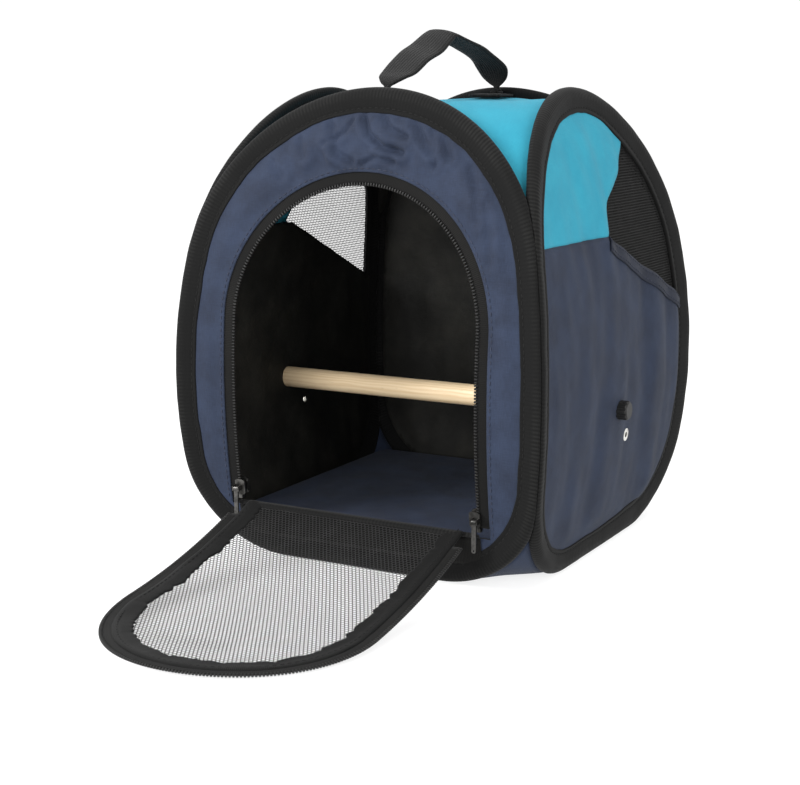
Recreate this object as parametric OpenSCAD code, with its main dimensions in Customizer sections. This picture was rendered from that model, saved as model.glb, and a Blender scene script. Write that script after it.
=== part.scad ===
// Soft-sided travel carrier for a pet bird.
// Four egg-shaped spring rings in padded bindings hold the fabric walls, which bow out like a barrel.
// The origin is at the middle of the base, on the ground. The door faces -Y and +Z is up.
// Every size is in millimetres.

/* [Frame] */
// Width and depth over the bindings at the widest height
overall_w = 270; // [200:1:400]
// Height of the ring tops
ring_h = 310; // [240:1:400]
// Height at which the walls are widest
belly_z = 120; // [90:1:150]
// Radius of the bow of the walls
wall_r = 480; // [350:1:900]
// Radius of the lower corners of a ring
foot_r = 75; // [50:1:85]
// Width of the binding tape on a ring
binding_w = 16; // [14:0.5:22]
// Thickness of the padded binding
binding_t = 8; // [6:0.5:12]

/* [Spring] */
// Width of the flat spring strip in a ring
strip_w = 3; // [2:0.5:4]
// Thickness of the flat spring strip
strip_t = 2; // [1:0.2:2.6]

/* [Fabric] */
// Thickness of the outer fabric
fabric_t = 1.2; // [0.6:0.1:1.6]
// Thickness of the black lining
lining_t = 1; // [0.5:0.1:1.2]
// Thickness of the top and base membranes
membrane_t = 1.6; // [1:0.1:3]

/* [Doorway] */
// Radius of the arch between the zip's coils
arch_r = 88; // [75:1:93]
// Distance from the top of the rings down to the top of that arch
arch_drop = 61; // [50:1:90]
// Height of the fold that the door hangs on
hinge_z = 36; // [34:0.5:50]
// Width of the door's bound edge
door_edge_w = 13; // [8:1:20]

/* [Zip] */
// Width of one coil of the zip
coil_w = 1.8; // [1:0.1:2.5]
// Thickness of the zip coils
coil_t = 2.6; // [1.6:0.1:3]
// Width of the doorway's zip tape, under its coil too
frame_tape_w = 8.3; // [4:0.1:8.6]
// Width of the door's zip tape beside its coil
door_tape_w = 5; // [3:0.5:7]
// Gap between the two coils, where the slider's wedge runs
coil_gap = 1.2; // [1:0.1:2]
// Length of a slider
slider_l = 11; // [8:0.5:14]
// Length of a zip pull from its pivot
pull_l = 20; // [12:1:26]

/* [Windows] */
// Height of the seam between the lower panel and the yoke
seam_z = 214; // [190:1:230]
// Distance of the window's front corner from the middle of the side, towards the back
window_y = -10; // [-30:1:20]
// Drop of the window's lower edge, from its front corner to the side of the ring
window_drop = 60; // [30:1:80]
// Width of the stitched hem under a window
hem_w = 9; // [6:1:14]

/* [Nets] */
// Pitch of the gaps in the nets, drawn far coarser than the real mesh
net_pitch = 13; // [12:0.5:24]
// Width of a strand between two gaps
strand_w = 1.8; // [1:0.1:3]

/* [Perch] */
// Diameter of the perch
perch_d = 15; // [10:0.5:20]
// Height of the perch axis
perch_z = 99; // [85:1:130]
// Place of the perch from the middle, towards the back
perch_y = -5; // [-20:1:20]
// Diameter of the knobs
knob_d = 13; // [10:0.5:20]
// Length of the knobs
knob_l = 8.5; // [6:0.5:14]
// Diameter of the screws
screw_d = 4; // [3:0.1:5]
// Length of a screw inside the perch
screw_grip = 14; // [8:1:24]
// Height of the spare eyelets
spare_z = 78; // [60:1:82]
// Place of the spare eyelets from the middle, towards the back
spare_y = 16; // [12:1:40]
// Bore of the spare eyelets
spare_bore = 3.6; // [2:0.1:5]

/* [Handle] */
// Width of the handle webbing
strap_w = 25; // [18:1:30]
// Thickness of the handle webbing
strap_t = 2.2; // [1.5:0.1:3]
// Height of the handle over its sewn ends
handle_h = 41.5; // [30:0.5:70]
// Length of the handle, front to back
handle_l = 165; // [120:1:168]

/* [Floor] */
// Width of the floor board in its cover
floor_w = 224; // [190:1:226]
// Thickness of the board
board_t = 3; // [2:0.5:5]
// Thickness of the board's fabric cover
cover_t = 0.8; // [0.5:0.1:1.2]
// Radius of the corners of the floor board
floor_r = 8; // [4:1:20]

/* [Hidden] */
$fn = 48;
BOW_FN = 360;

// Clearances
sewn_gap = 0.1;
side_gap = 0.2;
run_gap = 0.3;
fit_gap = 0.05;
mitre_gap = 0.15;

// Walls: each is part of a cylinder that bows outwards, and the bindings stand proud on both faces
proud = binding_t / 2;
belly_half = overall_w / 2 - proud;
bow_c = wall_r - belly_half;
panel_out = 0.9;
panel_in = panel_out - fabric_t;
lining_out = panel_in - 0.4;
lining_in = lining_out - lining_t;
slot_half = 2.2;
slot_inset = binding_w / 2;
strip_inset = slot_inset + run_gap;
edge_inset = strip_inset + strip_w + 0.4;
cut_near = 40;
cut_far = overall_w / 2 + 30;
function wall_half(z, off = 0) = sqrt(pow(wall_r + off, 2) - pow(z - belly_z, 2)) - bow_c;

// Ring outline: a crown arc, two side arcs that follow the walls, and two foot arcs, all tangent
side_r = wall_r + proud;
crown_up = ring_h - belly_z;
crown_r = (side_r * side_r - bow_c * bow_c - crown_up * crown_up) / (2 * (side_r - crown_up));
crown_z = ring_h - crown_r;
foot_x = sqrt(pow(side_r - foot_r, 2) - pow(belly_z - foot_r, 2)) - bow_c;
crown_a = atan2(crown_z - belly_z, bow_c);
foot_a = atan2(belly_z - foot_r, foot_x + bow_c);
function arc_points(x, z, r, a, b, n) = [for (i = [0:n]) let (t = a + (b - a) * i / n) [x + r * cos(t), z + r * sin(t)]];
function half_ring(i) = concat(
    arc_points(foot_x, foot_r, foot_r - i, -90, -foot_a, 12),
    arc_points(-bow_c, belly_z, side_r - i, -foot_a, crown_a, 12),
    arc_points(0, crown_z, crown_r - i, crown_a, 90, 16)
);
function flipped(points) = [for (i = [len(points) - 1:-1:0]) [-points[i][0], points[i][1]]];

// Doorway, from the outside in: frame tape, frame coil, gap, door coil, door tape, door binding, net
arch_z = ring_h - arch_drop - arch_r;
frame_coil_r = arch_r + coil_w;
frame_tape_r = arch_r + sewn_gap + frame_tape_w;
doorway_r = frame_tape_r + sewn_gap;
door_coil_r = arch_r - coil_gap;
door_tape_r = door_coil_r - coil_w - sewn_gap;
door_bound_r = door_tape_r - door_tape_w;
net_r = door_bound_r - door_edge_w;
net_grip = 6;
net_t = 0.6;
door_edge_t = 2.8;
zip_foot_z = hinge_z + 5;
door_foot_z = hinge_z + 2;
door_zip_z = zip_foot_z + slider_l + 1;
sill_z = hinge_z - 2.2;

// Door hinge: a round piping on the fold line, in front of the wall
piping_r = 1.6;
hinge_off = panel_out + 0.1 + piping_r;
hinge_y = -(wall_half(hinge_z) + hinge_off);
piping_l = 2 * frame_coil_r;
rest_gap = 0.4;
reach_y = bow_c - hinge_y;
reach_z = belly_z - hinge_z;
reach = sqrt(reach_y * reach_y + reach_z * reach_z);
open_drop = wall_r + door_edge_t / 2 + rest_gap - hinge_z;
door_open_a = 180 - asin(open_drop / reach) - atan2(reach_z, reach_y);

// Zip sliders, parked at the foot of the zip
slider_plate_t = 1;
lip_t = 1;
slider_w = coil_gap + 2 * (coil_w + run_gap + lip_t);
slider_half = coil_t / 2 + 0.5;
slider_x = arch_r - coil_gap / 2;
wedge_t = coil_gap / 2;
slider_park_z = zip_foot_z + slider_l / 2 + 0.5;
slider_park_a = asin((slider_park_z - belly_z) / wall_r);
pull_off = slider_half + slider_plate_t + 2.8;
pull_w = 3;
pull_t = 1.2;
pull_x = door_coil_r + run_gap + pull_w / 2;
pin_r = 0.6;
lug_t = 0.8;
lug_w = 3.4;
eye_r = 1.5;

// Membranes: the height is a function of the distance along the diagonals, so it meets all four rings
membrane_off = -proud - side_gap;
crown_sink = 7;
top_z = ring_h - crown_sink;
function top_point(t) =
    let (s = (crown_r - crown_sink) * sin(t), z = crown_z + (crown_r - crown_sink) * cos(t))
    [(s + wall_half(z, membrane_off)) / sqrt(2), z];
function base_point(t) =
    let (s = foot_x + foot_r * sin(t), z = foot_r * (1 - cos(t)))
    [(s + wall_half(z, membrane_off)) / sqrt(2), z];
top_line = concat([[0, top_z]], [for (t = [0:4:68]) top_point(t)]);
base_line = concat([[0, 0]], [for (t = [0:6:84]) base_point(t)]);

// Floor board, resting with its corners on the rising corners of the base
floor_half = floor_w / 2;
floor_corner = (floor_half - floor_r) * sqrt(2) + floor_r;
floor_z = lookup(floor_corner, base_line) + membrane_t + run_gap;
floor_t = board_t + 2 * cover_t + 2 * sewn_gap;

// Perch and its fastening, stacked along X
wall_at_perch = wall_half(perch_z);
eyelet_lip = 0.6;
eyelet_seat = 0.3;
lip_in = wall_at_perch + lining_in - eyelet_seat - eyelet_lip;
lip_out = wall_at_perch + panel_out + eyelet_seat + eyelet_lip;
perch_half = lip_in - sewn_gap;
perch_bore = screw_d + 2 * fit_gap;
eyelet_bore = screw_d + 0.6;
eyelet_od = eyelet_bore + 1.2;
spare_od = spare_bore + 1.2;
spare_a = asin((spare_z - belly_z) / wall_r);

// Handle
anchor_t = 2;
bead_r = 2;
anchor_z = top_z + 0.2;
handle_z = anchor_z + anchor_t + bead_r + 0.2;
handle_curve = 2.6;
bead_l = 10;
strap_taper = 0.93;

// Outline of a ring, taken in by an inset
module ring_shape(inset) {
    right = half_ring(inset);
    polygon(concat(right, flipped(right)));
}

// Outline of the doorway or of the door, down to a height
module arch_shape(r, foot) {
    intersection() {
        translate([0, arch_z]) circle(r = r, $fn = 96);
        translate([-2 * r, foot]) square([4 * r, ring_h]);
    }
    translate([-r, foot]) square([2 * r, arch_z - foot]);
}

// A flat outline laid on the front wall, between two distances from its surface
module on_wall(near, far) {
    intersection() {
        translate([0, bow_c, belly_z]) rotate([0, 90, 0]) difference() {
            cylinder(r = wall_r + far, h = overall_w + 40, center = true, $fn = BOW_FN);
            cylinder(r = wall_r + near, h = overall_w + 42, center = true, $fn = BOW_FN);
        }
        rotate([90, 0, 0]) translate([0, 0, cut_near]) linear_extrude(cut_far - cut_near) children();
    }
}

// The part of the plan that belongs to the front wall, up to the mitre with its neighbours
module front_wedge() {
    side = cut_far + 20;
    translate([0, -mitre_gap, -10]) linear_extrude(ring_h + 20)
        polygon([[0, 0], [-side, -side], [side, -side]]);
}

// Padded binding of one ring: a folded tape with a slot for the spring and the fabric edges
module binding() {
    color("#23231f") intersection() {
        difference() {
            on_wall(-proud, proud) difference() {
                ring_shape(0);
                ring_shape(binding_w);
            }
            on_wall(-slot_half, slot_half) difference() {
                ring_shape(slot_inset);
                ring_shape(binding_w + 1);
            }
        }
        front_wedge();
    }
}

// Flat spring strip inside the binding of one ring
module spring() {
    color("silver") on_wall(-strip_t / 2, strip_t / 2) difference() {
        ring_shape(strip_inset);
        ring_shape(strip_inset + strip_w);
    }
}

// Fabric of the front wall, round the doorway
module front_shape() {
    difference() {
        ring_shape(edge_inset);
        arch_shape(doorway_r, sill_z);
    }
}

module front_panel() {
    color("#464c60") on_wall(panel_in, panel_out) front_shape();
}

module front_lining() {
    color("#161614") on_wall(lining_in, lining_out) front_shape();
}

module back_panel() {
    color("#464c60") rotate([0, 0, 180]) on_wall(panel_in, panel_out) ring_shape(edge_inset);
}

module back_lining() {
    color("#161614") rotate([0, 0, 180]) on_wall(lining_in, lining_out) ring_shape(edge_inset);
}

// Seams of a side wall, in its own plane: x is towards the back and y is up
seam_front = [-overall_w / 2, seam_z];
window_corner = [window_y, seam_z];
window_back = [overall_w / 2, seam_z - window_drop];
window_edge = [window_corner, [window_y + 13, seam_z + 21], [window_y + 53, seam_z + 47], [window_y + 78, seam_z + 74]];
roof_y = max(ring_h, window_edge[3][1]) + 10;

// Region of the side wall under the seams
module lower_region() {
    polygon([seam_front, window_corner, window_back, [overall_w / 2, -10], [-overall_w / 2, -10]]);
}

// Region in front of the window and above the seam
module yoke_region() {
    edge_top = [window_edge[3][0], roof_y];
    polygon(concat([[seam_front[0], roof_y], seam_front], window_edge, [edge_top]));
}

// Region of the window
module window_region() {
    edge_top = [window_edge[3][0], roof_y];
    polygon(concat([window_back, [overall_w / 2, roof_y], edge_top], [for (i = [3:-1:0]) window_edge[i]]));
}

module side_holes(perch_hole, spare_hole) {
    translate([perch_y, perch_z]) circle(d = perch_hole);
    translate([spare_y, spare_z]) circle(d = spare_hole);
}

// Turns what is drawn on the front wall onto the right wall
module to_right() {
    rotate([0, 0, 90]) children();
}

module side_panel() {
    color("#464c60") to_right() on_wall(panel_in, panel_out) difference() {
        intersection() {
            ring_shape(edge_inset);
            lower_region();
        }
        side_holes(eyelet_od + 2 * side_gap, spare_od + 2 * side_gap);
    }
}

module side_lining() {
    color("#161614") to_right() on_wall(lining_in, lining_out) difference() {
        intersection() {
            ring_shape(edge_inset);
            lower_region();
        }
        side_holes(eyelet_od + 2 * side_gap, spare_od + 2 * side_gap);
    }
}

// Bright upper part of the side, in front of the window, sewn on just above the seam
module side_yoke() {
    color("#3eb2d4") to_right() on_wall(panel_in, panel_out) intersection() {
        ring_shape(edge_inset);
        translate([-side_gap, side_gap]) yoke_region();
    }
}

// Staggered rows of hexagonal gaps, whose centres fill a box
module net_gaps(low, high) {
    row = net_pitch * sqrt(3) / 2;
    gap_r = (net_pitch - strand_w) / sqrt(3);
    for (j = [0:(high[1] - low[1]) / row]) {
        start = low[0] + (j % 2) * net_pitch / 2;
        for (x = [start:net_pitch:high[0]]) translate([x, low[1] + j * row]) rotate(30) circle(r = gap_r, $fn = 6);
    }
}

// Net of the side window
module window_net() {
    color("#3a3a3a") to_right() on_wall(-net_t / 2, net_t / 2) difference() {
        intersection() {
            ring_shape(edge_inset);
            translate([0, side_gap]) window_region();
        }
        intersection() {
            ring_shape(binding_w);
            translate([0, hem_w / 2]) window_region();
            net_gaps([window_y, seam_z - window_drop], [overall_w / 2, ring_h - binding_w]);
        }
    }
}

// Stitched hem along the lower edge of the window, on the outside
module window_hem() {
    run = window_back - window_corner;
    along = run / norm(run);
    across = [-along[1], along[0]];
    start = window_corner + along;
    end = start + along * overall_w;
    color("#3d4356") to_right() on_wall(panel_out + sewn_gap, panel_out + 0.9) intersection() {
        ring_shape(binding_w + side_gap);
        polygon([start, end, end - across * hem_w, start - across * hem_w]);
    }
}

// Space on the inner side of the front binding
module bow_inside() {
    translate([0, bow_c, belly_z]) rotate([0, 90, 0])
        cylinder(r = wall_r + membrane_off, h = 2 * overall_w, center = true, $fn = BOW_FN);
}

// Membrane over a diagonal height line, the same in all four quarters
module membrane(line) {
    raised = [for (i = [len(line) - 1:-1:0]) line[i] + [0, membrane_t]];
    span = overall_w;
    intersection() {
        union() {
            for (turn = [45:90:315]) rotate([0, 0, turn]) intersection() {
                rotate([90, 0, 0]) linear_extrude(span, center = true) polygon(concat(line, raised));
                translate([0, 0, -5]) linear_extrude(ring_h + 20) polygon([[0, 0], [span, -span], [span, span]]);
            }
        }
        bow_inside();
        rotate([0, 0, 90]) bow_inside();
        rotate([0, 0, 180]) bow_inside();
        rotate([0, 0, 270]) bow_inside();
    }
}

module top_panel() {
    color("#3eb2d4") translate([0, 0, -membrane_t]) membrane(top_line);
}

module base_panel() {
    color("#464c60") membrane(base_line);
}

module floor_shape(half, r) {
    for (x = [-1, 1], y = [-1, 1]) translate([x * (half - r), y * (half - r)]) circle(r = r);
    square([2 * half, 2 * (half - r)], center = true);
    square([2 * (half - r), 2 * half], center = true);
}

// Fabric sleeve of the floor board, open along the back edge
module floor_cover() {
    inner = floor_half - cover_t - sewn_gap;
    color("#282e3e") translate([0, 0, floor_z]) difference() {
        linear_extrude(floor_t) floor_shape(floor_half, floor_r);
        translate([0, 0, cover_t]) linear_extrude(board_t + 2 * sewn_gap) {
            floor_shape(inner, floor_r - cover_t);
            translate([-inner + floor_r, 0]) square([2 * (inner - floor_r), floor_w]);
        }
    }
}

module floor_board() {
    inner = floor_half - cover_t - 2 * sewn_gap;
    color("#8a6f4d") translate([0, 0, floor_z + cover_t + sewn_gap])
        linear_extrude(board_t) floor_shape(inner, floor_r - cover_t);
}

// Half of the zip that is sewn to the doorway
module frame_zip_tape() {
    color("#23231f") on_wall(-0.5, 0.5) difference() {
        arch_shape(frame_tape_r, zip_foot_z);
        arch_shape(frame_coil_r + sewn_gap, 0);
    }
}

module frame_zip_coil() {
    color("#30302c") on_wall(-coil_t / 2, coil_t / 2) difference() {
        arch_shape(frame_coil_r, zip_foot_z);
        arch_shape(arch_r, 0);
    }
}

// Bottom stops of the two zip runs, crimped on under the parked sliders
module zip_stops() {
    stop = [3, coil_t + 0.6, 2.6];
    stop_z = zip_foot_z - sewn_gap - stop[2] / 2;
    color("#b8b8b4") for (side = [-1, 1])
        translate([side * (arch_r + frame_coil_r) / 2, -wall_half(stop_z), stop_z]) cube(stop, center = true);
}

// Tape along the sill, sewn to the front panel under the piping
module hinge_tape() {
    tape_z = hinge_z - 9;
    tape_top = hinge_z - piping_r - rest_gap;
    color("#23231f") on_wall(panel_out + sewn_gap, panel_out + 1.3)
        translate([-piping_l / 2, tape_z]) square([piping_l, tape_top - tape_z]);
}

// Turns the closed door about its hinge to where it lies open on the ground
module opened() {
    translate([0, hinge_y, hinge_z]) rotate([door_open_a, 0, 0]) translate([0, -hinge_y, -hinge_z]) children();
}

module door_net() {
    side = floor(net_r / net_pitch) * net_pitch;
    low = door_zip_z + net_pitch / 3;
    color("#4a4a48") opened() on_wall(-net_t / 2, net_t / 2) difference() {
        arch_shape(net_r + net_grip - 0.5, door_zip_z - net_grip + 0.5);
        intersection() {
            arch_shape(net_r, door_zip_z);
            net_gaps([-side, low], [side, arch_z + net_r]);
        }
    }
}

// Bound edge of the door, with a slot that grips the net
module door_binding() {
    color("#23231f") opened() difference() {
        on_wall(-door_edge_t / 2, door_edge_t / 2) difference() {
            arch_shape(door_bound_r, door_foot_z);
            arch_shape(net_r, door_zip_z);
        }
        on_wall(-net_t / 2 - sewn_gap, net_t / 2 + sewn_gap) difference() {
            arch_shape(net_r + net_grip, door_zip_z - net_grip);
            arch_shape(net_r - 1, door_zip_z + 1);
        }
    }
}

module door_zip_tape() {
    color("#23231f") opened() on_wall(-0.5, 0.5) difference() {
        arch_shape(door_tape_r, door_zip_z);
        arch_shape(door_bound_r + sewn_gap, 0);
    }
}

module door_zip_coil() {
    color("#30302c") opened() on_wall(-coil_t / 2, coil_t / 2) difference() {
        arch_shape(door_coil_r, door_zip_z);
        arch_shape(door_coil_r - coil_w, 0);
    }
}

// Piping on the fold line, with the web that joins it to the foot of the door
module door_hinge_piping() {
    web = 1;
    foot_y = -wall_half(door_foot_z);
    color("#23231f") opened() {
        translate([0, hinge_y, hinge_z]) rotate([0, 90, 0]) cylinder(r = piping_r, h = piping_l, center = true);
        rotate([90, 0, 90]) linear_extrude(2 * door_bound_r - 6, center = true) polygon([
            [hinge_y - 0.6, hinge_z + 1.2],
            [hinge_y + 0.9, hinge_z - 0.6],
            [foot_y + web, door_foot_z - sewn_gap],
            [foot_y - web, door_foot_z - sewn_gap],
        ]);
    }
}

// Places a part on the front wall where the right slider parks: -Y is outwards and Z follows the zip
module at_slider() {
    translate([0, bow_c, belly_z]) rotate([-slider_park_a, 0, 0]) translate([0, -wall_r, 0]) children();
}

// Zip slider: two plates joined by the wedge between the coils, side lips, and lugs with a pin
module slider() {
    lug_h = pull_off + pin_r + lug_t - slider_half - slider_plate_t;
    lug_y = slider_half + slider_plate_t + lug_h / 2 - sewn_gap;
    lug_x = pull_w / 2 + side_gap + lug_t / 2;
    wedge_l = 3;
    color("#9a9a98") at_slider() {
        for (side = [-1, 1])
            translate([slider_x, side * (slider_half + slider_plate_t / 2), 0]) rotate([90, 0, 0])
                linear_extrude(slider_plate_t, center = true) slider_outline();
        translate([slider_x, 0, (slider_l - wedge_l - 1) / 2])
            cube([wedge_t, 2 * slider_half + sewn_gap, wedge_l], center = true);
        for (side = [-1, 1], edge = [-1, 1])
            translate([slider_x + edge * (slider_w - lip_t) / 2, side * (slider_half - 0.3), 0])
                cube([lip_t, 0.8, slider_l - 4], center = true);
        for (side = [-1, 1]) translate([pull_x + side * lug_x, -lug_y, 0])
            cube([lug_t, lug_h, lug_w], center = true);
        translate([pull_x, -pull_off, 0]) rotate([0, 90, 0])
            cylinder(r = pin_r, h = pull_w + 2 * side_gap + 2 * lug_t, center = true, $fn = 24);
    }
}

module slider_outline() {
    w = slider_w / 2;
    l = slider_l / 2;
    foot = 1.5;
    shoulder = 2;
    polygon([
        [-w, foot - l],
        [foot - w, -l],
        [w - foot, -l],
        [w, foot - l],
        [w, l - shoulder / 2],
        [w - shoulder, l],
        [shoulder - w, l],
        [-w, l - shoulder / 2],
    ]);
}

// Zip pull, hanging plumb beside the path of the door's coil: an eye round the slider's pin and a tab
module pull() {
    color("#9a9a98") at_slider() translate([pull_x, -pull_off, 0]) rotate([slider_park_a, 0, 0]) {
        tab_l = pull_l - pull_w / 2;
        difference() {
            union() {
                rotate([0, 90, 0]) cylinder(r = eye_r, h = pull_w, center = true, $fn = 32);
                translate([0, 0, -(tab_l + 1) / 2]) cube([pull_w, pull_t, tab_l - 1], center = true);
                translate([0, 0, -tab_l]) rotate([90, 0, 0])
                    cylinder(d = pull_w, h = pull_t, center = true, $fn = 32);
            }
            rotate([0, 90, 0]) cylinder(r = pin_r + fit_gap, h = pull_w + 2, center = true, $fn = 32);
            translate([0, 0, -tab_l]) rotate([90, 0, 0])
                cylinder(r = pin_r, h = pull_t + 2, center = true, $fn = 24);
        }
    }
}

// Wooden perch between the side walls, bored at both ends for the screws
module perch() {
    bore_l = screw_grip + 2;
    color("#d2b991") translate([0, perch_y, perch_z]) rotate([0, 90, 0]) difference() {
        cylinder(d = perch_d, h = 2 * perch_half, center = true);
        for (side = [-1, 1]) translate([0, 0, side * (perch_half - bore_l / 2)])
            cylinder(d = perch_bore, h = bore_l + 0.02, center = true);
    }
}

// Knob outside the right wall, with the screw that draws the perch against the wall
module knob() {
    start = lip_out + sewn_gap;
    flutes = 10;
    color("#1c1c1a") translate([0, perch_y, perch_z]) rotate([0, 90, 0]) {
        difference() {
            union() {
                translate([0, 0, start]) cylinder(d1 = knob_d - 1.6, d2 = knob_d, h = 1.2);
                translate([0, 0, start + 1.2]) cylinder(d = knob_d, h = knob_l - 2.4);
                translate([0, 0, start + knob_l - 1.2]) cylinder(d1 = knob_d, d2 = knob_d - 2.4, h = 1.2);
            }
            for (i = [0:flutes - 1]) rotate([0, 0, i * 360 / flutes])
                translate([knob_d / 2 + 0.5, 0, start - 1]) cylinder(r = 1.1, h = knob_l + 2, $fn = 16);
        }
        translate([0, 0, perch_half - screw_grip])
            cylinder(d = screw_d, h = start - perch_half + screw_grip + 1);
    }
}

// Metal eyelet set in a wall: a tube with a lip on each face
module eyelet(bore, od, low, high) {
    rotate([0, 90, 0]) difference() {
        union() {
            translate([0, 0, low]) cylinder(d = od, h = high - low);
            translate([0, 0, low]) cylinder(d = od + 4, h = eyelet_lip);
            translate([0, 0, high - eyelet_lip]) cylinder(d = od + 4, h = eyelet_lip);
        }
        translate([0, 0, low - 1]) cylinder(d = bore, h = high - low + 2);
    }
}

module perch_eyelets() {
    color("#c9c9c4") for (side = [0, 1]) mirror([side, 0, 0])
        translate([0, perch_y, perch_z]) eyelet(eyelet_bore, eyelet_od, lip_in, lip_out);
}

module spare_eyelets() {
    low = lining_in - eyelet_seat - eyelet_lip;
    high = panel_out + eyelet_seat + eyelet_lip;
    color("#c9c9c4") for (side = [0, 1]) mirror([side, 0, 0])
        translate([wall_half(spare_z), spare_y, spare_z]) rotate([0, -spare_a, 0])
            eyelet(spare_bore, spare_od, low, high);
}

// Carrying handle: a webbing loop that tapers to a rolled end at each side
module handle() {
    steps = 28;
    function bend(t, a, h) = [
        sign(cos(t)) * a * pow(abs(cos(t)), 2 / handle_curve),
        handle_z + h * pow(sin(t), 2 / handle_curve)
    ];
    function loop(grow) = [for (i = [0:steps]) bend(180 * i / steps, handle_l / 2 + grow, handle_h + grow)];
    outer = loop(0);
    inner = loop(-strap_t);
    half = strap_w / 2;
    color("#323232") {
        intersection() {
            rotate([90, 0, 90]) linear_extrude(strap_w, center = true)
                polygon(concat(outer, [for (i = [steps:-1:0]) inner[i]]));
            rotate([90, 0, 0]) linear_extrude(2 * handle_l, center = true)
                translate([0, handle_z]) polygon([
                    [0, 0],
                    [half, half / strap_taper],
                    [half, handle_h + 10],
                    [-half, handle_h + 10],
                    [-half, half / strap_taper],
                ]);
        }
        for (side = [-1, 1]) handle_end(side) cylinder(r = bead_r, h = bead_l, center = true);
    }
}

// Places a roller on the handle's hinge line at one of its ends
module handle_end(side) {
    translate([0, side * (handle_l / 2 - strap_t / 2), handle_z]) rotate([90, 0, 0]) children();
}

// Sewn-down ends of the webbing, folded up round the rolled ends
module handle_anchors() {
    tab_l = 22;
    color("#323232") for (side = [-1, 1]) {
        handle_end(side) intersection() {
            difference() {
                cylinder(r = bead_r + 1.4, h = bead_l - 2, center = true);
                cylinder(r = bead_r + fit_gap, h = bead_l, center = true);
            }
            translate([-10, -10, -10]) cube([20, 9.6, 20]);
        }
        translate([0, side * (handle_l / 2 - tab_l / 2 - 1), anchor_z + anchor_t / 4])
            cube([strap_w, tab_l, anchor_t / 2], center = true);
    }
}

binding();  // front_binding
to_right() binding();  // right_binding
rotate([0, 0, 180]) binding();  // back_binding
rotate([0, 0, 270]) binding();  // left_binding
spring();  // front_spring
to_right() spring();  // right_spring
rotate([0, 0, 180]) spring();  // back_spring
rotate([0, 0, 270]) spring();  // left_spring
front_panel();
front_lining();
back_panel();
back_lining();
side_panel();  // right_panel
mirror([1, 0, 0]) side_panel();  // left_panel
side_lining();  // right_lining
mirror([1, 0, 0]) side_lining();  // left_lining
side_yoke();  // right_yoke
mirror([1, 0, 0]) side_yoke();  // left_yoke
window_net();  // right_window_net
mirror([1, 0, 0]) window_net();  // left_window_net
window_hem();  // right_window_hem
mirror([1, 0, 0]) window_hem();  // left_window_hem
top_panel();
base_panel();
floor_cover();
floor_board();
frame_zip_tape();
frame_zip_coil();
zip_stops();
hinge_tape();
door_net();
door_binding();
door_zip_tape();
door_zip_coil();
door_hinge_piping();
slider();  // right_slider
mirror([1, 0, 0]) slider();  // left_slider
pull();  // right_pull
mirror([1, 0, 0]) pull();  // left_pull
perch();
knob();  // right_knob
mirror([1, 0, 0]) knob();  // left_knob
perch_eyelets();
spare_eyelets();
handle();
handle_anchors();
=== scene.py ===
import math

import bpy
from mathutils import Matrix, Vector, noise
from mathutils.geometry import delaunay_2d_cdt


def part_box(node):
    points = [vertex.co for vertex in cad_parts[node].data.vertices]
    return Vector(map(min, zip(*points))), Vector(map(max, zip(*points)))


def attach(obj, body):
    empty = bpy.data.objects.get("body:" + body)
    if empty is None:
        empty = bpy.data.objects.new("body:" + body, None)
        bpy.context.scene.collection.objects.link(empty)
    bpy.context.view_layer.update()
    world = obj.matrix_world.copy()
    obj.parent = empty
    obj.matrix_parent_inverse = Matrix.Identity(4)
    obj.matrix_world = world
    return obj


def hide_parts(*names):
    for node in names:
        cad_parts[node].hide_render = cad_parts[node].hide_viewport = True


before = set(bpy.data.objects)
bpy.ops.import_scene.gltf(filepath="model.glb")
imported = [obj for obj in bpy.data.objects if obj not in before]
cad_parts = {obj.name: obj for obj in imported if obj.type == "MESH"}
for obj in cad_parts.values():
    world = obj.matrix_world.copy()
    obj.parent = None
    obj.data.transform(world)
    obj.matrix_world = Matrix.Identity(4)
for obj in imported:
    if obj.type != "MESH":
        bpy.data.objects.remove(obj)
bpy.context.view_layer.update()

bpy.ops.object.select_all(action="DESELECT")

# Driving sizes of the carrier, in metres
OVERALL_W = 0.270
RING_H = 0.310
BELLY_Z = 0.120
WALL_R = 0.480
FOOT_R = 0.075
BINDING_W = 0.016
PROUD = 0.004
SHEET_INSET = 0.0117
HINGE_Z = 0.036
ARCH_R = 0.088
ARCH_DROP = 0.061
COIL_W = 0.0018
COIL_T = 0.0026
COIL_GAP = 0.0012
FRAME_TAPE_W = 0.0083
DOOR_TAPE_W = 0.005
DOOR_EDGE_W = 0.013
DOOR_EDGE_T = 0.0028
PIPING_R = 0.0016
SEAM_Z = 0.214
WINDOW_Y = -0.010
WINDOW_DROP = 0.060
CROWN_SINK = 0.007
STRAP_W = 0.025
STRAP_T = 0.0022
FLOOR_HALF = 0.112

# Holes for the screws of the perch and the spare eyelets, in a side wall's plane: place and radius
HOLES = [(-0.005, 0.099, 0.0031), (0.016, 0.078, 0.0026)]

# Distances of the cloth from the middle of a wall, outwards
PANEL_OFF = 0.0003
LINING_OFF = -0.0012
NET_OFF = -0.0005
MEMBRANE_OFF = -0.0042
TUCKED_OFF = -0.0022
CLOTH_T = 0.0008
TAPE_T = 0.0005
NET_T = 0.00025
MM = 0.001

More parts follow.
